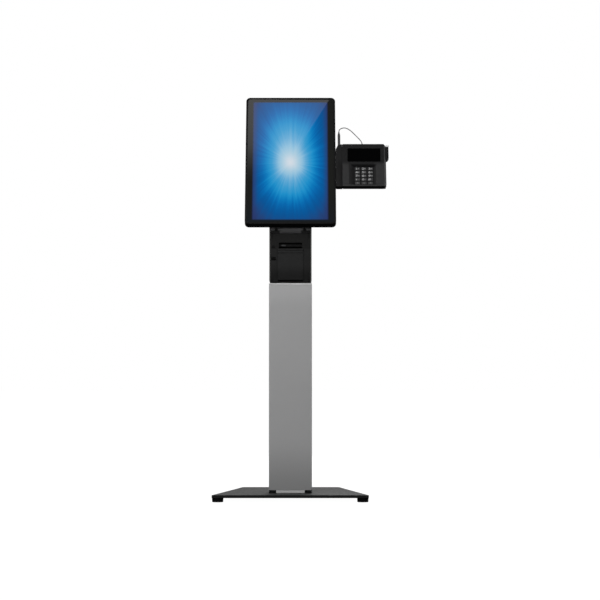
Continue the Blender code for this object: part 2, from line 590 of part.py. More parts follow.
pivot_pin = turned("terminal_pivot_pin", [(0, 0.0190), (0.0058, 0.0190), (0.0062, 0.0186), (0.0062, 0.0158), (PIN_R, 0.0158),
                                          (PIN_R, -0.0154), (0, -0.0154)], (0, 0, 0))
place_turned(pivot_pin, display, (PIVOT_X, py, pz), (0, math.pi / 2, 0))
publish(pivot_pin, "terminal_pivot_pin", "bright", smooth=False)

# ---------------------------------------------------------------- card terminal
PO = (PIVOT_X, PIVOT[0], PIVOT[1])


def in_terminal(obj, origin=PO):
    return settle(obj, terminal, origin)


front = slab("terminal_front_shell",
             [[(TERM_X0, TERM_Z0 + 0.002), (TERM_X0 + 0.002, TERM_Z0)] + arc(TERM_X1 - 0.0110, TERM_Z0 + 0.0110, 0.0110, -90, 0, 5)
              + [(TERM_X1, TERM_Z1 - 0.0065), (TERM_X1 - 0.0085, TERM_Z1), (TERM_X0 + 0.002, TERM_Z1), (TERM_X0, TERM_Z1 - 0.002)]],
             'XZ', 0.0, TERM_SHELL - GAP)
in_terminal(front)
bevel(front, 0.0022, 2)
upper = blocks("shell_upper_cavity", [(TERM_X0 + 0.0030, TERM_X1 - 0.0050, 0.0036, 0.0400, 0.2405, TERM_Z1 - 0.0045)])
lower = blocks("shell_lower_cavity", [(TERM_X0 + 0.0030, TERM_X1 - 0.0045, 0.0095, 0.0400, TERM_Z0 + 0.0028, 0.2407)])
for cutter in (upper, lower):
    in_terminal(as_tool(cutter))
    boolean(front, cutter)
bm = bmesh.new()
verts = add_cube(bm, 0.2074, 0.3042, -0.0010, 0.0075, 0.1550, 0.2388)
for v in verts:
    if v.co.y > 0.0:
        v.co.x = 0.2215 if v.co.x < 0.25 else 0.2905
        v.co.z = 0.1578 if v.co.z < 0.2 else 0.2300
well = mesh_object(bm, "keypad_well")
in_terminal(as_tool(well))
boolean(front, well)
holes = [(x - KEY_W / 2 - GAP, x + KEY_W / 2 + GAP, 0.0060, 0.0120, z - KEY_H / 2 - GAP, z + KEY_H / 2 + GAP)
         for x in KEY_X for z in KEY_Z]
holes += [(0.2050, 0.3090, 0.0000, 0.0060, 0.2535, 0.2972),
          (0.2268, 0.2852, CARD_Y0, CARD_Y1, TERM_Z0 - 0.0050, TERM_Z0 + 0.0060)]
holes = blocks("shell_holes", holes)
in_terminal(as_tool(holes))
boolean(front, holes)
facet = slab("right_facet", [[(TERM_X1 - 0.0065, -0.0010), (TERM_X1 - 0.0065, 0.0), (TERM_X1 - 0.0004, 0.0085),
                             (TERM_X1 + 0.0100, 0.0085), (TERM_X1 + 0.0100, -0.0010)]], 'XY', 0.1600, 0.3400)
in_terminal(as_tool(facet))
boolean(front, facet)
lens_seat = slab("lens_seat", [rounded_outline(0.1993, 0.3147, 0.2483, 0.3024, 0.0030, 3)], 'XZ', -0.0050, 0.0020)
in_terminal(as_tool(lens_seat))
boolean(front, lens_seat)
publish(front, "terminal_front_shell", "dark_plastic")

lens = slab("terminal_lens", [rounded_outline(0.1996, 0.3144, 0.2486, 0.3021, 0.0027, 3)], 'XZ', 0.0003, 0.0017)
in_terminal(lens)
publish(lens, "terminal_lens", "gloss")
tlcd = blocks("terminal_lcd", [(0.2062, 0.3078, 0.0040, 0.0085, 0.2548, 0.2960)])
in_terminal(tlcd)
publish(tlcd, "terminal_lcd", "panel")
mat_pad = blocks("keypad_mat", [(0.2210, 0.2912, 0.0112, 0.0124, 0.1575, 0.2305)])
in_terminal(mat_pad)
publish(mat_pad, "keypad_mat", "grey_rubber")
tboard = blocks("terminal_main_board", [(0.1880, 0.3270, 0.0127, 0.0139, 0.1570, 0.3120)])
in_terminal(tboard)
publish(tboard, "terminal_main_board", "board")

reader = blocks("card_reader", [(0.2235, 0.2885, 0.0143, 0.0219, 0.1533, 0.2000)])
slot = slab("card_slot", [[(CARD_Y0, 0.1450), (CARD_Y0, 0.1555), (THROAT_Y0, 0.1580), (THROAT_Y0, 0.1900),
                           (THROAT_Y1, 0.1900), (THROAT_Y1, 0.1580), (CARD_Y1, 0.1555), (CARD_Y1, 0.1450)]],
            'YZ', 0.2270, 0.2850)
in_terminal(reader)
in_terminal(as_tool(slot))
boolean(reader, slot)
publish(reader, "card_reader", "panel")

rear = blocks("terminal_rear_shell", [(TERM_X0 + 0.0023, TERM_X1 - 0.0025, TERM_SHELL + GAP, 0.0253, 0.1530, 0.3175)])
in_terminal(rear)
hump = slab("rear_hump", [rounded_outline(0.1900, 0.3255, 0.1680, 0.3090, 0.0060, 3)], 'XZ', 0.0245, 0.0450)
anchor = rod("tether_anchor", 0.0030, 0.0060, (0.2535, 0.0340, 0.3095), 'Z', 20)
rear_cavity = blocks("rear_cavity", [(0.1925, 0.3230, 0.0200, 0.0425, 0.1710, 0.3060)])
for operand, how in ((hump, 'UNION'), (anchor, 'UNION'), (rear_cavity, 'DIFFERENCE')):
    in_terminal(as_tool(operand))
    boolean(rear, operand, how)
publish(rear, "terminal_rear_shell", "black_plastic")

cradle = blocks("terminal_cradle", [(0.2045, 0.2845, 0.0453, 0.0483, pz - 0.0350, pz + 0.0350)])
in_terminal(cradle)
lug = slab("cradle_lug", [arc(py, pz, 0.0075, -90, 90, 10) + [(0.0475, pz + 0.0120), (0.0475, pz - 0.0120)]],
           'YZ', 0.2344, 0.2546)
bore = rod("cradle_bore", PIN_HOLE, 0.0600, (PIVOT_X, py, pz), 'X')
for operand, how in ((lug, 'UNION'), (bore, 'DIFFERENCE')):
    in_terminal(as_tool(operand))
    boolean(cradle, operand, how)
publish(cradle, "terminal_cradle", "black_sheet")

swipe = slab("swipe_reader", [[(TERM_X1 + GAP, 0.2590), (0.3385, 0.2590), (0.3436, 0.2670), (0.3436, 0.3146), (0.3424, 0.3167),
                               (TERM_X1 + GAP, 0.3167)]], 'XZ', 0.0015, 0.0215)
in_terminal(swipe)
groove = blocks("swipe_groove", [(0.3366, 0.3410, -0.0050, 0.0125, 0.2300, 0.3400)])
in_terminal(as_tool(groove))
boolean(swipe, groove)
publish(swipe, "swipe_reader", "black_plastic")

holder = slab("stylus_holder", [[(0.1582, TERM_Z0 + 0.0020), (0.1602, TERM_Z0), (TERM_X0 - GAP, TERM_Z0), (TERM_X0 - GAP, TERM_Z1),
                                 (0.1735, TERM_Z1), (0.1650, TERM_Z1 - 0.0050), (0.1582, TERM_Z1 - 0.0200)]], 'XZ', 0.0030, TERM_SHELL)
in_terminal(holder)
well = rod("stylus_socket", STYLUS_R + 0.0005, 0.1400, (STYLUS_X, STYLUS_Y, STYLUS_Z0 - 0.0003 + 0.0700), 'Z', 28)
in_terminal(as_tool(well))
boolean(holder, well)
publish(holder, "stylus_holder", "black_plastic")

sl = STYLUS_Z1 - STYLUS_Z0
pen = turned("stylus", [(0, sl), (0.0026, sl), (0.0040, sl - 0.0018), (STYLUS_R, sl - 0.0060), (STYLUS_R, 0.0180),
                        (0.0016, 0.0012), (0.0008, 0), (0, 0)], (0, 0, 0), steps=24)
place_turned(pen, terminal, (STYLUS_X, STYLUS_Y, STYLUS_Z0))
publish(pen, "stylus", "stylus", smooth=False)


def smooth_route(points, per_span):
    """Points along a Catmull-Rom curve through the given ones."""
    p = [Vector(q) for q in points]
    p = [2 * p[0] - p[1]] + p + [2 * p[-1] - p[-2]]
    out = []
    for i in range(1, len(p) - 2):
        for k in range(per_span):
            t = k / per_span
            a, b, c, e = p[i - 1], p[i], p[i + 1], p[i + 2]
            out.append(0.5 * ((2 * b) + (c - a) * t + (2 * a - 5 * b + 4 * c - e) * t * t
                              + (3 * b - a - 3 * c + e) * t ** 3))
    out.append(p[-2])
    return out


curve = bpy.data.curves.new("stylus_tether", 'CURVE')
curve.dimensions = '3D'
curve.bevel_depth = TETHER_R
curve.bevel_resolution = 2
curve.use_fill_caps = True
route = smooth_route(TETHER_ROUTE, 2)
spline = curve.splines.new('POLY')
spline.points.add(len(route) - 1)
for point, co in zip(spline.points, route):
    point.co = (*(co - terminal.origin), 1)
tether = bpy.data.objects.new("stylus_tether", curve)
parts.objects.link(tether)
tether.parent = terminal.empty
curve.materials.append(M["tether"])

for names, z in zip(KEY_NAMES, KEY_Z):
    for name, x in zip(names, KEY_X):
        key = blocks(name, [(x - KEY_W / 2, x + KEY_W / 2, KEY_Y0, KEY_Y1, z - KEY_H / 2, z + KEY_H / 2)])
        bevel(key, 0.0008, 2)
        in_terminal(key, (x, KEY_Y0, z))
        publish(key, name, "key")
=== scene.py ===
import math

import bmesh
import bpy
from mathutils import Matrix, Vector


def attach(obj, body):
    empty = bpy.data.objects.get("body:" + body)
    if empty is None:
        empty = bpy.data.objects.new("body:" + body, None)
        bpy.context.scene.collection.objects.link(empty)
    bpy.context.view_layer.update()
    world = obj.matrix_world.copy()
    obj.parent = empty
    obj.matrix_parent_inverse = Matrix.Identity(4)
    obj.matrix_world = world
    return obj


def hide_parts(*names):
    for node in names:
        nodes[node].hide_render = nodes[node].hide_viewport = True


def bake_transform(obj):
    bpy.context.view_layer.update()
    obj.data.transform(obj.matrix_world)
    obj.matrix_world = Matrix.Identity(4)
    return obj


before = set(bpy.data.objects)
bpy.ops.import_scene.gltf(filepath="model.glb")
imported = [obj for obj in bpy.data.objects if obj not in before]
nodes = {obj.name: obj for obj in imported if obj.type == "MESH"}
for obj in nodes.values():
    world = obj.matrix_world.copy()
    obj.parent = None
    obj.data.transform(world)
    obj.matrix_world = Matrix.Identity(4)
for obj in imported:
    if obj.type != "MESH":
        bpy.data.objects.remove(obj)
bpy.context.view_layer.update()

scene = bpy.context.scene

# ------------------------------------------------------------------ frame of the kiosk
SHIFT_X, SHIFT_Y = 0.0388, 0.1210
TILT = math.radians(24.757)
CT, ST = math.cos(TILT), math.sin(TILT)
ORIGIN = Vector((-SHIFT_X, -0.0300 - SHIFT_Y, 0.9502))
UP = Vector((0, ST, CT))          # along the screen, upwards
BACK = Vector((0, CT, -ST))       # into the screen
LOCAL = Matrix(((1, 0, 0, ORIGIN.x), (0, CT, ST, ORIGIN.y), (0, -ST, CT, ORIGIN.z), (0, 0, 0, 1)))


def at(x, y, z):
    """A point given along the display (x right, y back, z up the screen), in the row frame."""
    return LOCAL @ Vector((x, y, z))


# ------------------------------------------------------------------ camera
cam_data = bpy.data.cameras.new("camera")
cam_data.lens = 120.0
cam_data.sensor_width = 36.0
cam_data.clip_end = 60.0
camera = bpy.data.objects.new("camera", cam_data)
scene.collection.objects.link(camera)
camera.location = (0.0330 - SHIFT_X, -6.899 - SHIFT_Y, 0.4404)
camera.rotation_euler = (math.radians(90 + 2.0618), 0, 0)
scene.camera = camera
scene.view_settings.view_transform = 'Standard'
scene.view_settings.look = 'None'
scene.view_settings.exposure = 0.0
scene.view_settings.gamma = 1.0


# ------------------------------------------------------------------ material helpers
def new_material(name):
    mat = bpy.data.materials.new(name)
    mat.use_nodes = True
    nt = mat.node_tree
    bsdf = nt.nodes["Principled BSDF"]
    return mat, nt, bsdf


def link(nt, a, b):
    nt.links.new(a, b)


def coords(nt):
    return nt.nodes.new("ShaderNodeTexCoord").outputs["Object"]


def noise(nt, vector, scale, detail=3.0, rough=0.55, stretch=None):
    n = nt.nodes.new("ShaderNodeTexNoise")
    n.inputs["Scale"].default_value = scale
    n.inputs["Detail"].default_value = detail
    n.inputs["Roughness"].default_value = rough
    if stretch:
        m = nt.nodes.new("ShaderNodeMapping")
        m.inputs["Scale"].default_value = stretch
        link(nt, vector, m.inputs["Vector"])
        vector = m.outputs["Vector"]
    link(nt, vector, n.inputs["Vector"])
    return n.outputs["Fac"]


def ramp(nt, fac, stops, mode='LINEAR'):
    r = nt.nodes.new("ShaderNodeValToRGB")
    r.color_ramp.interpolation = mode
    els = r.color_ramp.elements
    while len(els) > 1:
        els.remove(els[-1])
    els[0].position = stops[0][0]
    els[0].color = (*stops[0][1], 1)
    for p, c in stops[1:]:
        e = els.new(p)
        e.color = (*c, 1)
    link(nt, fac, r.inputs["Fac"])
    return r.outputs["Color"]


def remap(nt, value, lo, hi, a=0.0, b=1.0, smooth=False):
    m = nt.nodes.new("ShaderNodeMapRange")
    m.clamp = True
    if smooth:
        m.interpolation_type = 'SMOOTHSTEP'
    for name, v in (("From Min", lo), ("From Max", hi), ("To Min", a), ("To Max", b)):
        m.inputs[name].default_value = v
    link(nt, value, m.inputs["Value"])
    return m.outputs["Result"]


def maths(nt, op, a, b=None, clamp=False):
    m = nt.nodes.new("ShaderNodeMath")
    m.operation = op
    m.use_clamp = clamp
    for i, v in enumerate((a, b)):
        if v is None:
            continue
        if isinstance(v, (int, float)):
            m.inputs[i].default_value = v
        else:
            link(nt, v, m.inputs[i])
    return m.outputs[0]


def mix(nt, fac, a, b, blend='MIX'):
    m = nt.nodes.new("ShaderNodeMix")
    m.data_type = 'RGBA'
    m.blend_type = blend
    for socket, v in ((m.inputs[0], fac), (m.inputs[6], a), (m.inputs[7], b)):
        if isinstance(v, (int, float)):
            socket.default_value = v
        elif isinstance(v, tuple):
            socket.default_value = (*v, 1) if len(v) == 3 else v
        else:
            link(nt, v, socket)
    return m.outputs[2]


def bump(nt, bsdf, height, strength, distance=0.0002, after=None):
    b = nt.nodes.new("ShaderNodeBump")
    b.inputs["Strength"].default_value = strength
    b.inputs["Distance"].default_value = distance
    link(nt, height, b.inputs["Height"])
    if after is not None:
        link(nt, after, b.inputs["Normal"])
    link(nt, b.outputs["Normal"], bsdf.inputs["Normal"])
    return b.outputs["Normal"]


def coated(name, colour, rough, metallic=0.0, grain=1400.0, grain_strength=0.25, tone=0.10, rough_var=0.08,
           specular=0.5, coat=0.0, coat_rough=0.1, speck=0.0, dust=0.04, stretch=None, fade=None):
    """A moulded or powder-coated surface: fine grain in the normal, slow tone drift, and a little dust and rub."""
    mat, nt, bsdf = new_material(name)
    co = coords(nt)
    slow = noise(nt, co, 7.0, 4.0, 0.6)
    fine = noise(nt, co, grain, 2.0, 0.6, stretch)
    mid = noise(nt, co, 90.0, 4.0, 0.7, stretch)
    lo = tuple(c * (1 - tone) for c in colour)
    hi = tuple(min(1.0, c * (1 + tone)) for c in colour)
    col = ramp(nt, slow, [(0.30, lo), (0.70, hi)])
    if speck > 0:
        cell = noise(nt, co, grain * 0.7, 1.0, 0.5)
        spot = remap(nt, cell, 0.60, 0.72, 0.0, speck)
        col = mix(nt, spot, col, tuple(min(1.0, c * 1.9 + 0.03) for c in colour))
    if dust > 0:
        film = remap(nt, mid, 0.50, 0.80, 0.0, dust)
        col = mix(nt, film, col, (0.42, 0.41, 0.39))
    if fade:
        split = nt.nodes.new("ShaderNodeSeparateXYZ")
        link(nt, co, split.inputs[0])
        low = remap(nt, split.outputs["Z"], fade[0], fade[1], 1.0, 0.0, smooth=True)
        col = mix(nt, low, col, tuple(c * fade[2] for c in colour))
    link(nt, col, bsdf.inputs["Base Color"])
    link(nt, remap(nt, mid, 0.25, 0.75, max(0.02, rough - rough_var), min(1.0, rough + rough_var)),
         bsdf.inputs["Roughness"])
    bsdf.inputs["Metallic"].default_value = metallic
    bsdf.inputs["Specular IOR Level"].default_value = specular
    bsdf.inputs["Coat Weight"].default_value = coat
    bsdf.inputs["Coat Roughness"].default_value = coat_rough
    bump(nt, bsdf, fine, grain_strength, 0.00015)
    return mat


def brushed(name, colour, rough, axis_scale, metallic=1.0):
    mat, nt, bsdf = new_material(name)
    co = coords(nt)
    lines = noise(nt, co, 260.0, 5.0, 0.75, axis_scale)
    slow = noise(nt, co, 9.0, 3.0)
    base = ramp(nt, lines, [(0.30, tuple(c * 0.82 for c in colour)), (0.70, tuple(min(1, c * 1.12) for c in colour))])
    base = mix(nt, remap(nt, slow, 0.4, 0.8, 0.0, 0.18), base, tuple(c * 0.7 for c in colour))
    link(nt, base, bsdf.inputs["Base Color"])
    link(nt, remap(nt, lines, 0.3, 0.7, rough - 0.07, rough + 0.09), bsdf.inputs["Roughness"])
    bsdf.inputs["Metallic"].default_value = metallic
    bump(nt, bsdf, lines, 0.12, 0.0001)
    return mat


M_PLATE = coated("plate_coat", (0.0145, 0.0148, 0.0152), 0.44, 0.0, grain=1100, grain_strength=0.22, tone=0.14, speck=0.12, dust=0.02, specular=0.20)
M_RUBBER = coated("foot_rubber", (0.003, 0.003, 0.0035), 0.82, grain=700, grain_strength=0.35, tone=0.2, specular=0.10, dust=0.01)
# painted shade: the silver coat's fade draws the column darker toward its foot
M_SILVER = coated("silver_coat", (0.580, 0.582, 0.585), 0.44, 0.20, grain=1500, grain_strength=0.20, tone=0.020, speck=0.08, dust=0.02, fade=(0.02, 0.22, 0.66))
M_BRIGHT = brushed("brushed_steel", (0.97, 0.97, 0.97), 0.36, (0.03, 1.0, 1.0), 0.10)
M_PIN = brushed("pin_steel", (0.50, 0.50, 0.51), 0.28, (0.03, 1.0, 1.0))
M_BOLT = coated("black_oxide", (0.006, 0.006, 0.0065), 0.48, 0.3, grain=900, grain_strength=0.15, tone=0.25, dust=0.01, specular=0.25)
M_SHEET = coated("black_powder_coat", (0.017, 0.017, 0.016), 0.50, 0.0, grain=1300, grain_strength=0.28, tone=0.12, speck=0.05, dust=0.012, specular=0.25)
# clamp bar: pale grey front, partly its own lighter grey and partly painted light against the display's shadow, fading
# out toward the lower edge
M_BAR = coated("clamp_bar_coat", (0.190, 0.190, 0.196), 0.50, 0.0, grain=1300, grain_strength=0.28, tone=0.12, speck=0.05, specular=0.25, fade=(0.924, 0.941, 0.38))
# painted shade: the printer case and door are drawn darker toward their bottoms
M_CASE = coated("printer_moulding", (0.0170, 0.0170, 0.0170), 0.52, 0.0, grain=1600, grain_strength=0.35, tone=0.10, dust=0.015, specular=0.22, fade=(0.770, 0.815, 0.36))
M_DOOR = coated("door_moulding", (0.0215, 0.0215, 0.0217), 0.46, 0.0, grain=1600, grain_strength=0.30, tone=0.10, dust=0.015, specular=0.25, fade=(0.768, 0.818, 0.40))
M_SIDE = coated("side_moulding", (0.0090, 0.0090, 0.0095), 0.52, 0.0, grain=1900, grain_strength=0.40, tone=0.10, dust=0.012, specular=0.22, fade=(1.155, 1.190, 0.25))
M_BEZEL = coated("bezel_moulding", (0.0045, 0.0045, 0.0048), 0.50, 0.0, grain=1700, grain_strength=0.25, tone=0.12, dust=0.008, specular=0.14)
M_GLOSS = coated("gloss_black", (0.003, 0.003, 0.003), 0.16, 0.0, grain=300, grain_strength=0.01, tone=0.1, rough_var=0.03, dust=0.0, specular=0.3)
M_LENS = coated("lens_black", (0.0006, 0.0006, 0.0007), 0.06, 0.0, grain=200, grain_strength=0.003, tone=0.1, rough_var=0.02, dust=0.0, specular=0.06)
M_PANEL = coated("panel_alloy", (0.22, 0.23, 0.24), 0.40, 0.8, grain=900, grain_strength=0.12, tone=0.08, dust=0.0)
M_HEADP = coated("print_head_block", (0.0040, 0.0040, 0.0042), 0.45, 0.0, grain=900, grain_strength=0.12, tone=0.10, dust=0.0, specular=0.2)
M_DARKP = coated("reader_moulding", (0.030, 0.030, 0.032), 0.55, grain=1200, grain_strength=0.3, dust=0.0, specular=0.3)
M_KEY = coated("key_moulding", (0.0600, 0.0600, 0.0608), 0.56, grain=1500, grain_strength=0.25, tone=0.12, dust=0.015, specular=0.25)
M_STYLUS = coated("stylus_moulding", (0.075, 0.075, 0.076), 0.40, grain=900, grain_strength=0.12, tone=0.12, dust=0.015, specular=0.3)
M_SWIPE = coated("swipe_moulding", (0.0180, 0.0180, 0.0185), 0.46, grain=1700, grain_strength=0.35, tone=0.10, dust=0.015, specular=0.28)
M_PRUB = coated("platen_rubber", (0.016, 0.016, 0.017), 0.74, grain=900, grain_strength=0.4, specular=0.2, dust=0.01)
M_GUIDE = coated("guide_moulding", (0.056, 0.058, 0.060), 0.42, grain=1200, grain_strength=0.15, tone=0.08, dust=0.0, specular=0.3)

# terminal moulding: satin black, with painted light and shade: a painted reflection greys the face below the window, a
# painted highlight lightens the lower edge band and the right bevel facet, and painted shade darkens the surfaces set
# back behind the front face
M_TERM, nt, bsdf = new_material("terminal_moulding")
co = coords(nt)


def along(nt, co, axis, origin):
    sub = nt.nodes.new("ShaderNodeVectorMath")
    sub.operation = 'SUBTRACT'
    sub.inputs[1].default_value = origin
    link(nt, co, sub.inputs[0])
    dot = nt.nodes.new("ShaderNodeVectorMath")
    dot.operation = 'DOT_PRODUCT'
    dot.inputs[1].default_value = axis
    link(nt, sub.outputs[0], dot.inputs[0])
    return dot.outputs["Value"]


# painted reflection: the face is drawn greyer below the window
height = along(nt, co, UP, ORIGIN)
wander = maths(nt, 'MULTIPLY', maths(nt, 'SUBTRACT', noise(nt, co, 22.0, 4.0, 0.6), 0.5), 0.012)
height = maths(nt, 'ADD', height, wander)
painted_reflection = maths(nt, 'MULTIPLY', remap(nt, height, 0.2330, 0.2500, 1.0, 0.0, smooth=True),
             remap(nt, height, 0.1500, 0.1640, 0.0, 1.0, smooth=True))
across = along(nt, co, Vector((1, 0, 0)), ORIGIN)
# rim keeps most of the painted reflection off the keypad well
rim = maths(nt, 'MULTIPLY', remap(nt, across, 0.2026, 0.2040, 0.0, 0.9), remap(nt, across, 0.2900, 0.3000, 1.0, 0.0))
painted_reflection = maths(nt, 'MULTIPLY', painted_reflection, maths(nt, 'SUBTRACT', 1.0, rim))
face = mix(nt, painted_reflection, (0.0085, 0.0085, 0.0090), (0.0360, 0.0360, 0.0368))
# painted light: a lighter band along the terminal's lower edge
low = remap(nt, along(nt, co, UP, ORIGIN), 0.1545, 0.1590, 1.0, 0.0, smooth=True)
face = mix(nt, low, face, (0.0420, 0.0420, 0.0430))
# painted highlight: the right bevel facet is drawn pale grey
side = remap(nt, across, 0.3270, 0.3282, 0.0, 1.0)
face = mix(nt, side, face, (0.1250, 0.1250, 0.1270))
# painted shade: surfaces set back behind the front face, such as the keypad well, are drawn near black
inside = remap(nt, along(nt, co, BACK, ORIGIN), 0.0008, 0.0045, 0.0, 0.85, smooth=True)
inside = maths(nt, 'MULTIPLY', inside, maths(nt, 'SUBTRACT', 1.0, side))
face = mix(nt, inside, face, (0.0035, 0.0035, 0.0038))
slow = noise(nt, co, 60.0, 4.0, 0.7)
face = mix(nt, remap(nt, slow, 0.3, 0.7, 0.0, 0.16), face, (0.0050, 0.0050, 0.0055))
link(nt, face, bsdf.inputs["Base Color"])
link(nt, remap(nt, slow, 0.25, 0.75, 0.44, 0.60), bsdf.inputs["Roughness"])
bsdf.inputs["Specular IOR Level"].default_value = 0.22
bump(nt, bsdf, noise(nt, co, 1900.0, 2.0, 0.6), 0.40, 0.00015)

# the clamp bar's back keeps the sheet's own black; its pale grey front is partly the bar's own lighter grey and partly
# painted light against the display's shadow, fading out toward the lower edge
nt = M_BAR.node_tree
bsdf = nt.nodes["Principled BSDF"]
co = coords(nt)
split = nt.nodes.new("ShaderNodeSeparateXYZ")
link(nt, co, split.inputs[0])
painted = bsdf.inputs["Base Color"].links[0].from_socket
painted = mix(nt, remap(nt, split.outputs["Y"], -SHIFT_Y + 0.0064, -SHIFT_Y + 0.0072, 0.0, 1.0), painted, (0.017, 0.017, 0.016))
# painted shade: the bar's lower outer corners are drawn near black
off_axis = maths(nt, 'ABSOLUTE', maths(nt, 'ADD', split.outputs["X"], SHIFT_X))
corner = maths(nt, 'MULTIPLY', remap(nt, off_axis, 0.0335, 0.0400, 0.0, 1.0, smooth=True),
              remap(nt, split.outputs["Z"], 0.9275, 0.9325, 1.0, 0.0, smooth=True))
link(nt, mix(nt, corner, painted, (0.0040, 0.0040, 0.0040)), bsdf.inputs["Base Color"])

# painted highlight: the head bracket's cut front edges are drawn paler than its faces
M_HEAD = coated("head_sheet", (0.017, 0.017, 0.016), 0.50, 0.0, grain=1300, grain_strength=0.28, tone=0.12, speck=0.05, dust=0.012, specular=0.25)
nt = M_HEAD.node_tree
bsdf = nt.nodes["Principled BSDF"]
split = nt.nodes.new("ShaderNodeSeparateXYZ")
link(nt, coords(nt), split.inputs[0])
painted = bsdf.inputs["Base Color"].links[0].from_socket
off_axis = maths(nt, 'ABSOLUTE', maths(nt, 'ADD', split.outputs["X"], SHIFT_X))
cut = maths(nt, 'MULTIPLY', remap(nt, off_axis, 0.0699, 0.0702, 0.0, 1.0),
            remap(nt, split.outputs["Y"], -SHIFT_Y + 0.0046, -SHIFT_Y + 0.0056, 1.0, 0.0))
link(nt, mix(nt, cut, painted, (0.170, 0.168, 0.162)), bsdf.inputs["Base Color"])

# painted light: the column's upper end is drawn a little brighter
nt = M_SILVER.node_tree
bsdf = nt.nodes["Principled BSDF"]
split = nt.nodes.new("ShaderNodeSeparateXYZ")
link(nt, coords(nt), split.inputs[0])
painted = bsdf.inputs["Base Color"].links[0].from_socket
link(nt, mix(nt, remap(nt, split.outputs["Z"], 0.655, 0.735, 0.0, 1.0, smooth=True), painted, (0.645, 0.647, 0.650)),
     bsdf.inputs["Base Color"])

# printer case: drawn darker above the receipt recess, with a painted highlight paling its outer side edges, painted
# shade darkening its front corners, and painted shade taking the recess's back wall to near black
nt = M_CASE.node_tree
bsdf = nt.nodes["Principled BSDF"]
co = coords(nt)
split = nt.nodes.new("ShaderNodeSeparateXYZ")
link(nt, co, split.inputs[0])
# painted shade: the back wall of the receipt recess is drawn near black
deep = maths(nt, 'MULTIPLY', remap(nt, split.outputs["Y"], -SHIFT_Y + 0.0090, -SHIFT_Y + 0.0125, 0.0, 0.72, smooth=True),
             maths(nt, 'MULTIPLY', remap(nt, split.outputs["Z"], 0.8660, 0.8672, 0.0, 1.0),
                   remap(nt, split.outputs["Z"], 0.8890, 0.8900, 1.0, 0.0)))
painted = bsdf.inputs["Base Color"].links[0].from_socket
painted = mix(nt, remap(nt, split.outputs["Z"], 0.8640, 0.8680, 0.0, 1.0, smooth=True), painted, (0.0112, 0.0112, 0.0108))
off_axis = maths(nt, 'ABSOLUTE', maths(nt, 'ADD', split.outputs["X"], SHIFT_X))
# painted highlight: the case's outer side edges are drawn paler
painted = mix(nt, remap(nt, off_axis, 0.0668, 0.0680, 0.0, 1.0), painted, (0.0360, 0.0360, 0.0355))
# painted shade: the front corners beside the door are drawn near black toward both ends
ends = maths(nt, 'ADD', remap(nt, split.outputs["Z"], 0.7600, 0.7720, 1.0, 0.0, smooth=True),
             remap(nt, split.outputs["Z"], 0.8900, 0.9100, 0.0, 0.8, smooth=True))
shade = maths(nt, 'MULTIPLY', ends, maths(nt, 'MULTIPLY', remap(nt, off_axis, 0.0585, 0.0625, 0.0, 1.0, smooth=True),
                                          remap(nt, off_axis, 0.0664, 0.0672, 1.0, 0.0)))
painted = mix(nt, shade, painted, (0.0015, 0.0015, 0.0015))
link(nt, mix(nt, deep, painted, (0.0006, 0.0006, 0.0006)), bsdf.inputs["Base Color"])

# foot flange: brushed strip, with its two bolt ears painted black
M_FLANGE, nt, bsdf = new_material("flange_steel")
co = coords(nt)
split = nt.nodes.new("ShaderNodeSeparateXYZ")
link(nt, co, split.inputs[0])
grain = noise(nt, co, 260.0, 5.0, 0.75, (0.03, 1.0, 1.0))
steel = ramp(nt, grain, [(0.30, (0.60, 0.60, 0.60)), (0.70, (0.74, 0.74, 0.74))])
off_axis = maths(nt, 'ABSOLUTE', maths(nt, 'ADD', split.outputs["X"], SHIFT_X))
ear = maths(nt, 'MULTIPLY', remap(nt, off_axis, 0.0487, 0.0493, 0.0, 1.0),
            remap(nt, split.outputs["Y"], -SHIFT_Y + 0.0256, -SHIFT_Y + 0.0262, 1.0, 0.0))
link(nt, mix(nt, ear, steel, (0.0045, 0.0045, 0.0048)), bsdf.inputs["Base Color"])
link(nt, remap(nt, grain, 0.3, 0.7, 0.36, 0.52), bsdf.inputs["Roughness"])
bsdf.inputs["Specular IOR Level"].default_value = 0.2
bump(nt, bsdf, grain, 0.12, 0.0001)

# circuit board: copper tracks under green resist
M_BOARD, nt, bsdf = new_material("board")
co = coords(nt)
brick = nt.nodes.new("ShaderNodeTexBrick")
brick.inputs["Scale"].default_value = 90.0
brick.inputs["Mortar Size"].default_value = 0.03
brick.inputs["Color1"].default_value = (0.010, 0.085, 0.035, 1)
brick.inputs["Color2"].default_value = (0.014, 0.110, 0.050, 1)
brick.inputs["Mortar"].default_value = (0.045, 0.19, 0.085, 1)
link(nt, co, brick.inputs["Vector"])
link(nt, brick.outputs["Color"], bsdf.inputs["Base Color"])
link(nt, remap(nt, noise(nt, co, 60), 0.3, 0.7, 0.3, 0.5), bsdf.inputs["Roughness"])
bump(nt, bsdf, brick.outputs["Fac"], 0.2, 0.0001)

# thermal paper: wound layers on the ends, a faint fibre grain outside
M_PAPER, nt, bsdf = new_material("paper")
co = coords(nt)
layers = nt.nodes.new("ShaderNodeTexNoise")
layers.inputs["Scale"].default_value = 900.0
layers.inputs["Detail"].default_value = 2.0
link(nt, co, layers.inputs["Vector"])
link(nt, ramp(nt, layers.outputs["Fac"], [(0.3, (0.74, 0.74, 0.71)), (0.7, (0.88, 0.88, 0.86))]), bsdf.inputs["Base Color"])
link(nt, remap(nt, noise(nt, co, 40), 0.3, 0.7, 0.75, 0.92), bsdf.inputs["Roughness"])
bump(nt, bsdf, layers.outputs["Fac"], 0.25, 0.0001)

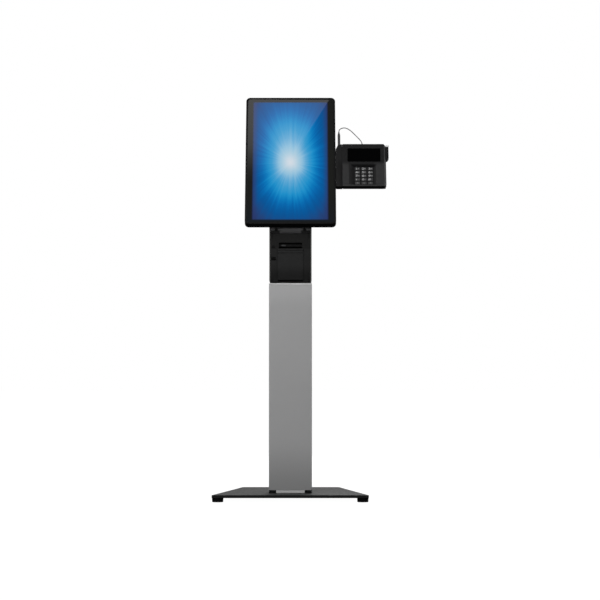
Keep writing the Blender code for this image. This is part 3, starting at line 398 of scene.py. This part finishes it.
# tether sheath: smooth grey cable with a fine spiral texture
M_TETHER, nt, bsdf = new_material("tether_sheath")
co = coords(nt)
link(nt, ramp(nt, noise(nt, co, 500), [(0.3, (0.26, 0.26, 0.262)), (0.7, (0.33, 0.33, 0.332))]), bsdf.inputs["Base Color"])
link(nt, remap(nt, noise(nt, co, 120), 0.3, 0.7, 0.42, 0.58), bsdf.inputs["Roughness"])
bump(nt, bsdf, noise(nt, co, 1800), 0.3, 0.0001)


# ------------------------------------------------------------------ display glass with its lit picture
def display_coordinates(nt):
    """Along the screen (x from its middle) and up the screen, in metres."""
    co = coords(nt)
    sub = nt.nodes.new("ShaderNodeVectorMath")
    sub.operation = 'SUBTRACT'
    sub.inputs[1].default_value = ORIGIN
    link(nt, co, sub.inputs[0])
    out = []
    for axis in (Vector((1, 0, 0)), UP):
        dot = nt.nodes.new("ShaderNodeVectorMath")
        dot.operation = 'DOT_PRODUCT'
        dot.inputs[1].default_value = axis
        link(nt, sub.outputs[0], dot.inputs[0])
        out.append(dot.outputs["Value"])
    return out


def srgb(r, g, b):
    return tuple(((c / 255 + 0.055) / 1.055) ** 2.4 if c > 10 else c / 255 / 12.92 for c in (r, g, b))


M_SCREEN, nt, bsdf = new_material("display_glass")
u, v = display_coordinates(nt)
du = maths(nt, 'SUBTRACT', u, -0.0002)
dv = maths(nt, 'SUBTRACT', v, 0.2456)
angle = maths(nt, 'ARCTAN2', dv, du)
comb = nt.nodes.new("ShaderNodeCombineXYZ")
link(nt, maths(nt, 'COSINE', angle), comb.inputs[0])
link(nt, maths(nt, 'SINE', angle), comb.inputs[1])
rays_a = noise(nt, comb.outputs[0], 11.0, 3.0, 0.75)
rays_b = noise(nt, comb.outputs[0], 4.0, 2.0, 0.5)
rays = maths(nt, 'ADD', maths(nt, 'MULTIPLY', maths(nt, 'SUBTRACT', rays_a, 0.5), 0.42),
             maths(nt, 'MULTIPLY', maths(nt, 'SUBTRACT', rays_b, 0.5), 0.16))
nu = maths(nt, 'DIVIDE', maths(nt, 'ABSOLUTE', du), 0.1300)
far = maths(nt, 'ABSOLUTE', dv)
reach_up = remap(nt, far, 0.010, 0.150, 1.0, 1.58, smooth=True)
reach_down = remap(nt, far, 0.030, 0.125, 0.84, 1.22, smooth=True)
upper_half = remap(nt, dv, -0.012, 0.012, 0.0, 1.0, smooth=True)
bend = maths(nt, 'ADD', reach_down, maths(nt, 'MULTIPLY', upper_half, maths(nt, 'SUBTRACT', reach_up, reach_down)))
nv = maths(nt, 'DIVIDE', maths(nt, 'DIVIDE', far, 0.175), bend)
radius = maths(nt, 'POWER', maths(nt, 'ADD', maths(nt, 'POWER', nu, 2.5), maths(nt, 'POWER', nv, 2.5)), 0.4)
beam = remap(nt, maths(nt, 'ABSOLUTE', du), 0.002, 0.007, 0.045, 0.0, smooth=True)
beam = maths(nt, 'ADD', beam, remap(nt, maths(nt, 'ABSOLUTE', maths(nt, 'SUBTRACT', du, 0.0172)), 0.001, 0.0055, 0.045, 0.0, smooth=True))
beam = maths(nt, 'SUBTRACT', beam, remap(nt, maths(nt, 'ABSOLUTE', maths(nt, 'SUBTRACT', du, 0.0095)), 0.001, 0.0045, 0.050, 0.0, smooth=True))
beam = maths(nt, 'MULTIPLY', beam, remap(nt, far, 0.13, 0.20, 1.0, 0.0, smooth=True))
rays = maths(nt, 'MULTIPLY', rays, remap(nt, radius, 0.75, 1.20, 1.0, 0.45, smooth=True))
spread = maths(nt, 'MULTIPLY', radius, maths(nt, 'SUBTRACT', maths(nt, 'SUBTRACT', 1.0, rays), beam))
picture = ramp(nt, maths(nt, 'DIVIDE', spread, 1.5), [
    (0.000, srgb(217, 225, 233)), (0.055, srgb(206, 220, 231)), (0.145, srgb(173, 207, 226)),
    (0.207, srgb(148, 196, 224)), (0.274, srgb(101, 173, 216)), (0.333, srgb(60, 158, 210)),
    (0.402, srgb(28, 145, 205)), (0.467, srgb(6, 124, 191)), (0.530, srgb(1, 105, 176)), (0.600, srgb(1, 92, 160)),
    (0.667, srgb(5, 84, 150)), (0.753, srgb(22, 75, 136)), (0.800, srgb(32, 68, 124)), (0.900, srgb(38, 58, 108)),
    (1.000, srgb(36, 50, 92))])
rim = maths(nt, 'MULTIPLY', remap(nt, maths(nt, 'ABSOLUTE', u), 0.1100, 0.1310, 0.0, 0.62, smooth=True), 1.0)
picture = mix(nt, rim, picture, srgb(44, 54, 104))
lines = maths(nt, 'SINE', maths(nt, 'MULTIPLY', v, 2600.0))
picture = mix(nt, remap(nt, lines, -1, 1, 0.0, 0.05), picture, (0.0, 0.01, 0.03))
edge_u = remap(nt, maths(nt, 'ABSOLUTE', maths(nt, 'ADD', u, 0.0010)), 0.1265, 0.1345, 1.0, 0.0, smooth=True)
edge_v = maths(nt, 'MULTIPLY', remap(nt, v, 0.0135, 0.0205, 0.0, 1.0, smooth=True),
               remap(nt, v, 0.4890, 0.4955, 1.0, 0.0, smooth=True))
lit = maths(nt, 'MULTIPLY', edge_u, edge_v)
border = mix(nt, remap(nt, v, 0.0, 0.12, smooth=True), (0.0125, 0.0155, 0.0190), (0.0155, 0.0160, 0.0145))
smudge = noise(nt, coords(nt), 16.0, 5.0, 0.65)
link(nt, mix(nt, lit, border, (0.0010, 0.0015, 0.0025)), bsdf.inputs["Base Color"])
link(nt, picture, bsdf.inputs["Emission Color"])
link(nt, maths(nt, 'MULTIPLY', lit, 0.97), bsdf.inputs["Emission Strength"])
link(nt, remap(nt, smudge, 0.35, 0.75, 0.004, 0.020), bsdf.inputs["Roughness"])
bsdf.inputs["IOR"].default_value = 1.5
bsdf.inputs["Specular IOR Level"].default_value = 0.15

# ------------------------------------------------------------------ carried-over CAD nodes
FINISH = {
    "base_plate": M_PLATE, "foot_front_left": M_RUBBER, "foot_front_right": M_RUBBER, "foot_rear_left": M_RUBBER,
    "foot_rear_right": M_RUBBER, "column_foot_flange": M_FLANGE, "flange_bolt_left": M_BOLT,
    "flange_bolt_right": M_BOLT, "column_shell": M_SILVER, "column_rear_cover": M_SILVER, "column_top_cap": M_BRIGHT,
    "head_bracket": M_HEAD, "neck_plate": M_SHEET, "hinge_pin": M_PIN, "printer_case": M_CASE, "print_head": M_HEADP,
    "printer_clamp_bar": M_BAR, "clamp_screw_left": M_BOLT, "clamp_screw_right": M_BOLT, "paper_roll": M_PAPER,
    "printer_door": M_DOOR, "platen_roller": M_PRUB, "printer_release_button": M_GLOSS,
    "printer_feed_button": M_SIDE, "display_bracket": M_SHEET, "display_rear_housing": M_SHEET,
    "display_bezel": M_BEZEL, "touch_glass": M_SCREEN, "lcd_panel": M_PANEL, "display_board": M_BOARD,
    "terminal_arm": M_SHEET, "terminal_pivot_pin": M_PIN, "terminal_cradle": M_SHEET, "stylus_holder": M_SIDE,
    "terminal_rear_shell": M_SIDE, "terminal_front_shell": M_TERM, "terminal_lens": M_LENS, "terminal_lcd": M_PANEL,
    "terminal_main_board": M_BOARD, "keypad_mat": M_PRUB, "card_reader": M_DARKP, "swipe_reader": M_SWIPE,
    "stylus": M_STYLUS, "stylus_tether": M_TETHER,
}
EDGE = {"base_plate": 0.0006, "column_foot_flange": 0.0005, "column_shell": 0.0, "head_bracket": 0.0006,
        "neck_plate": 0.0006, "printer_case": 0.0004, "printer_door": 0.0005, "printer_clamp_bar": 0.0005,
        "display_bracket": 0.0005, "terminal_arm": 0.0006, "terminal_cradle": 0.0005, "stylus_holder": 0.0008,
        "swipe_reader": 0.0007, "terminal_front_shell": 0.0005, "terminal_rear_shell": 0.0006, "print_head": 0.0004,
        "touch_glass": 0.0003, "terminal_lens": 0.0003, "display_bezel": 0.0004, "card_reader": 0.0003}
for name, obj in nodes.items():
    finish = FINISH.get(name, M_KEY)
    obj.data.materials.clear()
    obj.data.materials.append(finish)
    weld = obj.modifiers.new("weld", 'WELD')
    weld.merge_threshold = 0.00001
    width = EDGE.get(name, 0.0003)
    if width > 0:
        b = obj.modifiers.new("edge", 'BEVEL')
        b.width = width
        b.segments = 2
        b.limit_method = 'ANGLE'
        b.angle_limit = math.radians(35)
        b.use_clamp_overlap = True
        b.harden_normals = False


# ------------------------------------------------------------------ piece helpers
def add_mesh(name, bm, mat, body, smooth=True):
    mesh = bpy.data.meshes.new(name)
    bmesh.ops.recalc_face_normals(bm, faces=bm.faces)
    for f in bm.faces:
        f.smooth = smooth
    bm.to_mesh(mesh)
    bm.free()
    obj = bpy.data.objects.new(name, mesh)
    scene.collection.objects.link(obj)
    mesh.materials.append(mat)
    if body:
        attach(obj, body)
    return obj


def smooth_route(points, per_span):
    p = [Vector(q) for q in points]
    p = [2 * p[0] - p[1]] + p + [2 * p[-1] - p[-2]]
    out = []
    for i in range(1, len(p) - 2):
        for k in range(per_span):
            t = k / per_span
            a, b, c, e = p[i - 1], p[i], p[i + 1], p[i + 2]
            out.append(0.5 * ((2 * b) + (c - a) * t + (2 * a - 5 * b + 4 * c - e) * t * t
                              + (3 * b - a - 3 * c + e) * t ** 3))
    out.append(p[-2])
    return out


def tube(bm, path, radii, sides=14):
    """A tube of changing radius along a path, closed at both ends."""
    n = len(path)
    tangents = [(path[min(i + 1, n - 1)] - path[max(i - 1, 0)]).normalized() for i in range(n)]
    normal = tangents[0].orthogonal().normalized()
    rings = []
    for i in range(n):
        t = tangents[i]
        normal = (normal - t * normal.dot(t)).normalized()
        side = t.cross(normal)
        r = radii[i] if isinstance(radii, list) else radii
        rings.append([bm.verts.new(path[i] + r * (math.cos(2 * math.pi * k / sides) * normal
                                                   + math.sin(2 * math.pi * k / sides) * side)) for k in range(sides)])
    for a, b in zip(rings, rings[1:]):
        for k in range(sides):
            bm.faces.new((a[k], a[(k + 1) % sides], b[(k + 1) % sides], b[k]))
    bm.faces.new(list(reversed(rings[0])))
    bm.faces.new(rings[-1])


# ------------------------------------------------------------------ stylus tether
TETHER_R = 0.0017
TETHER_ROUTE = ((0.1703, 0.0135, 0.3708), (0.1704, 0.0136, 0.3785), (0.1722, 0.0142, 0.3865),
                (0.1765, 0.0148, 0.3915), (0.1830, 0.0155, 0.3950), (0.1895, 0.0165, 0.3965),
                (0.1966, 0.0178, 0.3958), (0.2053, 0.0195, 0.3922), (0.2141, 0.0215, 0.3858),
                (0.2245, 0.0240, 0.3758), (0.2349, 0.0268, 0.3655), (0.2440, 0.0295, 0.3560),
                (0.2500, 0.0318, 0.3475), (0.2530, 0.0333, 0.3370), (0.2535, 0.0340, 0.3250),
                (0.2535, 0.0340, 0.3128))
route = [at(*p) for p in smooth_route(TETHER_ROUTE, 5)]
bm = bmesh.new()
tube(bm, route, TETHER_R)
tether = add_mesh("tether_cable", bm, M_TETHER, None)
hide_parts("stylus_tether")
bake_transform(tether)

# tapered boots where the cable meets the stylus and the terminal's back
bm = bmesh.new()
path = [at(0.1703, 0.0135, 0.3706 + 0.0012 * i) for i in range(7)]
tube(bm, path, [0.0030, 0.0031, 0.0028, 0.0025, 0.0023, 0.0021, 0.0019], 18)
add_mesh("stylus_boot", bm, M_STYLUS, "stylus")
bm = bmesh.new()
path = [at(0.2535, 0.0340, 0.3126 + 0.0014 * i) for i in range(9)]
tube(bm, path, [0.0030, 0.0030, 0.0027, 0.0028, 0.0024, 0.0025, 0.0021, 0.0020, 0.0019], 18)
add_mesh("anchor_boot", bm, M_SIDE, "terminal")

# ------------------------------------------------------------------ fasteners and small rear fittings
M_FAST = coated("fastener_steel", (0.075, 0.075, 0.078), 0.34, 0.6, grain=700, grain_strength=0.10, tone=0.15, dust=0.01, specular=0.5)
M_PORT = coated("port_shell", (0.42, 0.42, 0.43), 0.34, 0.85, grain=600, grain_strength=0.08, tone=0.10, dust=0.0)
M_INSET = coated("port_inside", (0.012, 0.012, 0.013), 0.60, grain=900, grain_strength=0.2, dust=0.0, specular=0.2)


def column_point(x, y, z):
    """A point given from the middle of the column's front, in the row frame."""
    return Vector((x - SHIFT_X, y - SHIFT_Y, z))


def lathe(bm, origin, axis, rings, sides=24):
    """Rings of (height along the axis, radius function of the angle), closed at both ends."""
    side = axis.orthogonal().normalized()
    other = axis.cross(side)
    made = []
    for height, radius in rings:
        ring = []
        for k in range(sides):
            a = 2 * math.pi * k / sides
            r = radius(a) if callable(radius) else radius
            ring.append(bm.verts.new(origin + axis * height + r * (math.cos(a) * side + math.sin(a) * other)))
        made.append(ring)
    for a, b in zip(made, made[1:]):
        for k in range(sides):
            bm.faces.new((a[k], a[(k + 1) % sides], b[(k + 1) % sides], b[k]))
    bm.faces.new(list(reversed(made[0])))
    bm.faces.new(made[-1])


def hexagon(flat):
    """The radius of a hexagon, flat being half its width across flats, at each angle."""
    return lambda a: flat / math.cos((a % (math.pi / 3)) - math.pi / 6)


def screw(name, origin, axis, radius, height, body):
    """A low button head with a hexagon socket."""
    bm = bmesh.new()
    flat = radius * 0.40
    lathe(bm, origin, axis, [(-0.0003, radius), (height * 0.30, radius), (height * 0.70, radius * 0.90),
                             (height, radius * 0.66), (height, hexagon(flat)), (height * 0.35, hexagon(flat * 0.98))])
    return add_mesh(name, bm, M_FAST, body, smooth=False)


def block(name, origin, size, mat, body, tilted=False, edge=0.0003):
    """A small bevelled block between two corners, along the display when tilted."""
    bm = bmesh.new()
    made = bmesh.ops.create_cube(bm, size=1.0)["verts"]
    bmesh.ops.scale(bm, vec=Vector(size), verts=made)
    bmesh.ops.bevel(bm, geom=list(bm.edges), offset=edge, segments=2, affect='EDGES')
    bmesh.ops.translate(bm, vec=Vector(origin), verts=bm.verts)
    place = LOCAL if tilted else Matrix.Translation((-SHIFT_X, -SHIFT_Y, 0))
    bmesh.ops.transform(bm, matrix=place, verts=bm.verts)
    return add_mesh(name, bm, mat, body, smooth=False)


REAR = Vector((0, 1, 0))
for k, (x, z) in enumerate(((-0.0460, 0.7750), (0.0460, 0.7750), (-0.0460, 0.8450), (0.0460, 0.8450), (-0.0460, 0.9150),
                            (0.0460, 0.9150))):
    screw("neck_screw_%d" % k, column_point(x, 0.1343, z), REAR, 0.0042, 0.0020, "stand")
for k, (x, z) in enumerate(((-0.0540, 0.0800), (0.0540, 0.0800), (-0.0540, 0.3900), (0.0540, 0.3900), (-0.0540, 0.7000),
                            (0.0540, 0.7000))):
    screw("cover_screw_%d" % k, column_point(x, 0.0850, z), REAR, 0.0034, 0.0014, "stand")
for k, (x, z) in enumerate(((-0.0375, 0.2825), (0.0375, 0.2825), (-0.0375, 0.2075), (0.0375, 0.2075))):
    screw("bracket_screw_%d" % k, at(x, 0.0543, z), BACK, 0.0038, 0.0018, "display")
for k, (x, z) in enumerate(((-0.1170, 0.0430), (0.1170, 0.0430), (-0.1170, 0.2563), (0.1170, 0.2563), (-0.1170, 0.4696),
                            (0.1170, 0.4696))):
    screw("housing_screw_%d" % k, at(x, 0.0500, z), BACK, 0.0028, 0.0008, "display")
for k, x in enumerate((0.0640, 0.0800)):
    screw("arm_screw_%d" % k, at(x, 0.0600, 0.2295), BACK, 0.0040, 0.0018, "display")
for k, (x, z) in enumerate(((0.2105, 0.2015), (0.2785, 0.2015), (0.2105, 0.2575), (0.2785, 0.2575))):
    screw("cradle_screw_%d" % k, at(x, 0.0483, z), BACK, 0.0030, 0.0014, "terminal")
for k, (x, z) in enumerate(((0.1965, 0.1745), (0.3190, 0.1745), (0.1965, 0.3025), (0.3190, 0.3025))):
    screw("shell_screw_%d" % k, at(x, 0.0450, z), BACK, 0.0022, 0.0006, "terminal")

# blanked cable grommets low on the column cover and in the neck plate
for name, origin in (("column_grommet", column_point(0.0, 0.0850, 0.0620)), ("neck_grommet", column_point(0.0, 0.1343, 0.8000))):
    bm = bmesh.new()
    lathe(bm, origin, REAR, [(-0.0002, 0.0140), (0.0012, 0.0140), (0.0020, 0.0130), (0.0020, 0.0105), (0.0008, 0.0098),
                             (0.0008, 0.0030), (0.0014, 0.0022)], 36)
    add_mesh(name, bm, M_RUBBER, "stand", smooth=False)

# connector panel low on the display's back: a network socket, two serial-bus sockets, a video socket and a power jack
block("connector_panel", (0.0, 0.0502, 0.0690), (0.1240, 0.0010, 0.0260), M_PANEL, "display", True)
SOCKETS = (("network_socket", -0.0440, 0.0160, 0.0135), ("bus_socket_left", -0.0200, 0.0130, 0.0058),
           ("bus_socket_right", 0.0000, 0.0130, 0.0058), ("video_socket", 0.0210, 0.0152, 0.0060))
for name, x, w, h in SOCKETS:
    block(name, (x, 0.0510, 0.0690), (w, 0.0012, h), M_PORT, "display", True)
    block(name + "_inside", (x, 0.0511, 0.0690), (w - 0.0022, 0.0012, h - 0.0022), M_INSET, "display", True, 0.0002)
bm = bmesh.new()
lathe(bm, at(0.0450, 0.0505, 0.0690), BACK, [(0.0, 0.0052), (0.0012, 0.0052), (0.0014, 0.0049), (0.0014, 0.0032), (0.0003, 0.0031),
                                             (0.0003, 0.0009), (0.0012, 0.0008)], 28)
add_mesh("power_jack", bm, M_PORT, "display", smooth=False)

# guide tab in the receipt recess
block("receipt_guide_tab", (-0.0235, 0.0143, 0.8776), (0.0150, 0.0018, 0.0052), M_GUIDE, "stand", False, 0.0006)

# ------------------------------------------------------------------ key legends
M_LEGEND, nt, bsdf = new_material("legend_ink")
co = coords(nt)
link(nt, ramp(nt, noise(nt, co, 900, 4.0, 0.7), [(0.32, (0.36, 0.36, 0.36)), (0.60, (0.52, 0.52, 0.52))]), bsdf.inputs["Base Color"])
link(nt, remap(nt, noise(nt, co, 300), 0.3, 0.7, 0.5, 0.75), bsdf.inputs["Roughness"])
M_DIM, nt, bsdf = new_material("legend_dim")
co = coords(nt)
link(nt, ramp(nt, noise(nt, co, 900, 4.0, 0.7), [(0.32, (0.13, 0.13, 0.13)), (0.60, (0.22, 0.22, 0.22))]), bsdf.inputs["Base Color"])
link(nt, remap(nt, noise(nt, co, 300), 0.3, 0.7, 0.5, 0.75), bsdf.inputs["Roughness"])

KEY_X = (0.2335, 0.2560, 0.2785)
KEY_Z = (0.2228, 0.2083, 0.1938, 0.1793, 0.1648)
KEY_Y0 = 0.0050
LEGENDS = ((("key_1", "1", "qz"), ("key_2", "2", "abc"), ("key_3", "3", "def")),
           (("key_4", "4", "ghi"), ("key_5", "5", "jkl"), ("key_6", "6", "mno")),
           (("key_7", "7", "pqrs"), ("key_8", "8", "tuv"), ("key_9", "9", "wxyz")),
           (("key_star", "*", "."), ("key_0", "0", "+"), ("key_hash", "#", "-")),
           (("key_cancel", "x", ""), ("key_clear", "<", ""), ("key_enter", "o", "")))


def text_mesh(name, text, size, weight):
    curve = bpy.data.curves.new(name, 'FONT')
    curve.body = text
    curve.size = size
    curve.extrude = 0.00004
    curve.offset = weight
    curve.resolution_u = 3
    holder = bpy.data.objects.new(name + "_text", curve)
    scene.collection.objects.link(holder)
    bpy.context.view_layer.update()
    mesh = bpy.data.meshes.new_from_object(holder.evaluated_get(bpy.context.evaluated_depsgraph_get()))
    bpy.data.objects.remove(holder, do_unlink=True)
    return mesh


def legend(name, marks, centre, mat, body):
    """Printed marks on one key: each is (text, size, weight, x offset, width stretch) about the key's centre."""
    x, y, z = centre
    bm = bmesh.new()
    for k, (text, size, weight, dx, wide) in enumerate(marks):
        mesh = text_mesh(name + str(k), text, size, weight)
        xs = [q.co.x for q in mesh.vertices]
        ys = [q.co.y for q in mesh.vertices]
        cx, cy = (min(xs) + max(xs)) / 2, (min(ys) + max(ys)) / 2
        turn = Matrix(((wide, 0, 0, x + dx - cx * wide), (0, 0, -1, y), (0, 1, 0, z - cy), (0, 0, 0, 1)))
        mesh.transform(LOCAL @ turn)
        bm.from_mesh(mesh)
    mesh = bpy.data.meshes.new(name)
    bm.to_mesh(mesh)
    bm.free()
    mesh.materials.append(mat)
    obj = bpy.data.objects.new(name, mesh)
    scene.collection.objects.link(obj)
    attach(obj, body)
    return obj


for r, (row, z) in enumerate(zip(LEGENDS, KEY_Z)):
    for (body, text, small), x in zip(row, KEY_X):
        if r < 4:
            marks = [(text, 0.0112, 0.00022, -0.0032 if small else 0.0, 1.25)]
            if small:
                marks.append((small, 0.0050, 0.00010, 0.0034, 1.0 if len(small) < 4 else 0.8))
        else:
            marks = [(text, 0.0100, 0.00020, 0.0, 1.3)]
        legend("legend_" + body, marks, (x, KEY_Y0 - 0.00005, z), M_LEGEND if r < 4 else M_DIM, body)

# ------------------------------------------------------------------ studio
floor_mat, nt, bsdf = new_material("studio_floor")
co = coords(nt)
link(nt, ramp(nt, noise(nt, co, 3.0), [(0.3, (0.10, 0.10, 0.10)), (0.7, (0.11, 0.11, 0.11))]), bsdf.inputs["Base Color"])
bsdf.inputs["Roughness"].default_value = 0.9
bsdf.inputs["Specular IOR Level"].default_value = 0.0
bsdf.inputs["Emission Color"].default_value = (1, 1, 1, 1)
bsdf.inputs["Emission Strength"].default_value = 0.985
bm = bmesh.new()
bmesh.ops.create_grid(bm, x_segments=2, y_segments=2, size=40.0)
floor = add_mesh("studio_floor", bm, floor_mat, None, smooth=False)
floor.location.z = -0.0002
floor.visible_diffuse = False
floor.visible_glossy = False

world = bpy.data.worlds.new("studio")
scene.world = world
world.use_nodes = True
nt = world.node_tree
nt.nodes.clear()
out = nt.nodes.new("ShaderNodeOutputWorld")
paths = nt.nodes.new("ShaderNodeLightPath")
seen = nt.nodes.new("ShaderNodeBackground")
seen.inputs["Color"].default_value = (1, 1, 1, 1)
seen.inputs["Strength"].default_value = 1.0
soft = nt.nodes.new("ShaderNodeBackground")
soft.inputs["Color"].default_value = (1, 1, 1, 1)
where = nt.nodes.new("ShaderNodeTexCoord").outputs["Generated"]
split = nt.nodes.new("ShaderNodeSeparateXYZ")
nt.links.new(where, split.inputs[0])
sky = remap(nt, split.outputs["Z"], -0.35, 0.30, 0.03, 0.17, smooth=True)
behind = remap(nt, split.outputs["Y"], 0.35, 1.0, 0.0, 0.25, smooth=True)
level = remap(nt, split.outputs["Z"], -0.30, 0.0, 0.0, 1.0, smooth=True)
glow = maths(nt, 'ADD', sky, maths(nt, 'MULTIPLY', behind, level))
nt.links.new(glow, soft.inputs["Strength"])
mixer = nt.nodes.new("ShaderNodeMixShader")
nt.links.new(paths.outputs["Is Camera Ray"], mixer.inputs["Fac"])
nt.links.new(soft.outputs[0], mixer.inputs[1])
nt.links.new(seen.outputs[0], mixer.inputs[2])
nt.links.new(mixer.outputs[0], out.inputs["Surface"])


def area(name, location, target, size, energy, size_y=None, glossy=True):
    data = bpy.data.lights.new(name, 'AREA')
    data.shape = 'RECTANGLE' if size_y else 'SQUARE'
    data.size = size
    if size_y:
        data.size_y = size_y
    data.energy = energy
    obj = bpy.data.objects.new(name, data)
    scene.collection.objects.link(obj)
    obj.location = location
    obj.rotation_euler = (Vector(target) - Vector(location)).to_track_quat('-Z', 'Y').to_euler()
    obj.visible_glossy = glossy
    return obj


area("key_light", (-1.6, -2.2, 2.5), (0, 0, 0.9), 2.6, 62)
area("fill_light", (3.0, -1.4, 1.6), (0, 0, 0.8), 2.4, 31)
area("rim_light", (0.6, 2.4, 2.4), (0, 0, 1.0), 1.4, 24)
area("back_light", (1.1, 3.2, 1.1), (0, 0, 0.9), 1.8, 60, glossy=False)
area("back_fill", (-1.8, 2.6, 0.9), (0, 0, 0.9), 1.6, 34, glossy=False)


# the tall softbox whose edge crosses the screen's upper left: only glossy rays see it
def mirrored(u, v, reach=3.0):
    point = at(u, 0.0004, v)
    normal = -BACK
    d = (point - camera.location).normalized()
    r = d - 2 * d.dot(normal) * normal
    middle = (at(0, 0.0004, 0.256) - camera.location).normalized()
    r0 = middle - 2 * middle.dot(normal) * normal
    plane = at(0, 0.0004, 0.256) + reach * r0
    return point + r * ((plane - point).dot(r0) / r.dot(r0))


def edge_u_at(v):
    return 0.0442 + (v - 0.3366) * (0.1407 - 0.0442) / (0.5111 - 0.3366)


FADE = ((0.175, 0.0), (0.21, 0.08), (0.2456, 0.28), (0.28, 0.46), (0.31, 0.70), (0.34, 0.78), (0.40, 0.90), (0.48, 1.0), (0.60, 1.0))


def profile(v):
    for (a, p), (b, q) in zip(FADE, FADE[1:]):
        if a <= v <= b:
            return p + (q - p) * (v - a) / (b - a)
    return 0.0 if v < FADE[0][0] else 1.0


PICTURE_DIM = 0.62
COLUMNS = (-0.2200, -0.1345, -0.1150)
ROWS = sorted([0.14 + 0.35 * i / 24 for i in range(25)] + [0.4885, 0.4935, 0.51, 0.53, 0.56])
bm = bmesh.new()
layer = bm.verts.layers.float.new("glow")
rows = []
for vv in ROWS:
    row = []
    for k, uu in enumerate(COLUMNS + (edge_u_at(vv),)):
        uu = max(uu, -0.2200)
        t = profile(vv) * (PICTURE_DIM if k >= 2 and vv < 0.4900 else 1.0)
        vert = bm.verts.new(mirrored(uu, vv))
        vert[layer] = t
        row.append(vert)
    rows.append(row)
for a, b in zip(rows, rows[1:]):
    for k in range(len(a) - 1):
        bm.faces.new((a[k], a[k + 1], b[k + 1], b[k]))
softbox_mat = bpy.data.materials.new("softbox")
softbox_mat.use_nodes = True
nt = softbox_mat.node_tree
nt.nodes.clear()
out = nt.nodes.new("ShaderNodeOutputMaterial")
glow = nt.nodes.new("ShaderNodeEmission")
attr = nt.nodes.new("ShaderNodeAttribute")
attr.attribute_name = "glow"
clear = nt.nodes.new("ShaderNodeBsdfTransparent")
blend = nt.nodes.new("ShaderNodeMixShader")
glow.inputs["Strength"].default_value = 4.6
nt.links.new(attr.outputs["Fac"], blend.inputs["Fac"])
nt.links.new(clear.outputs[0], blend.inputs[1])
nt.links.new(glow.outputs[0], blend.inputs[2])
nt.links.new(blend.outputs[0], out.inputs["Surface"])
softbox = add_mesh("softbox", bm, softbox_mat, None, smooth=False)
softbox.visible_camera = False
softbox.visible_diffuse = False
softbox.visible_shadow = False
softbox.visible_transmission = False
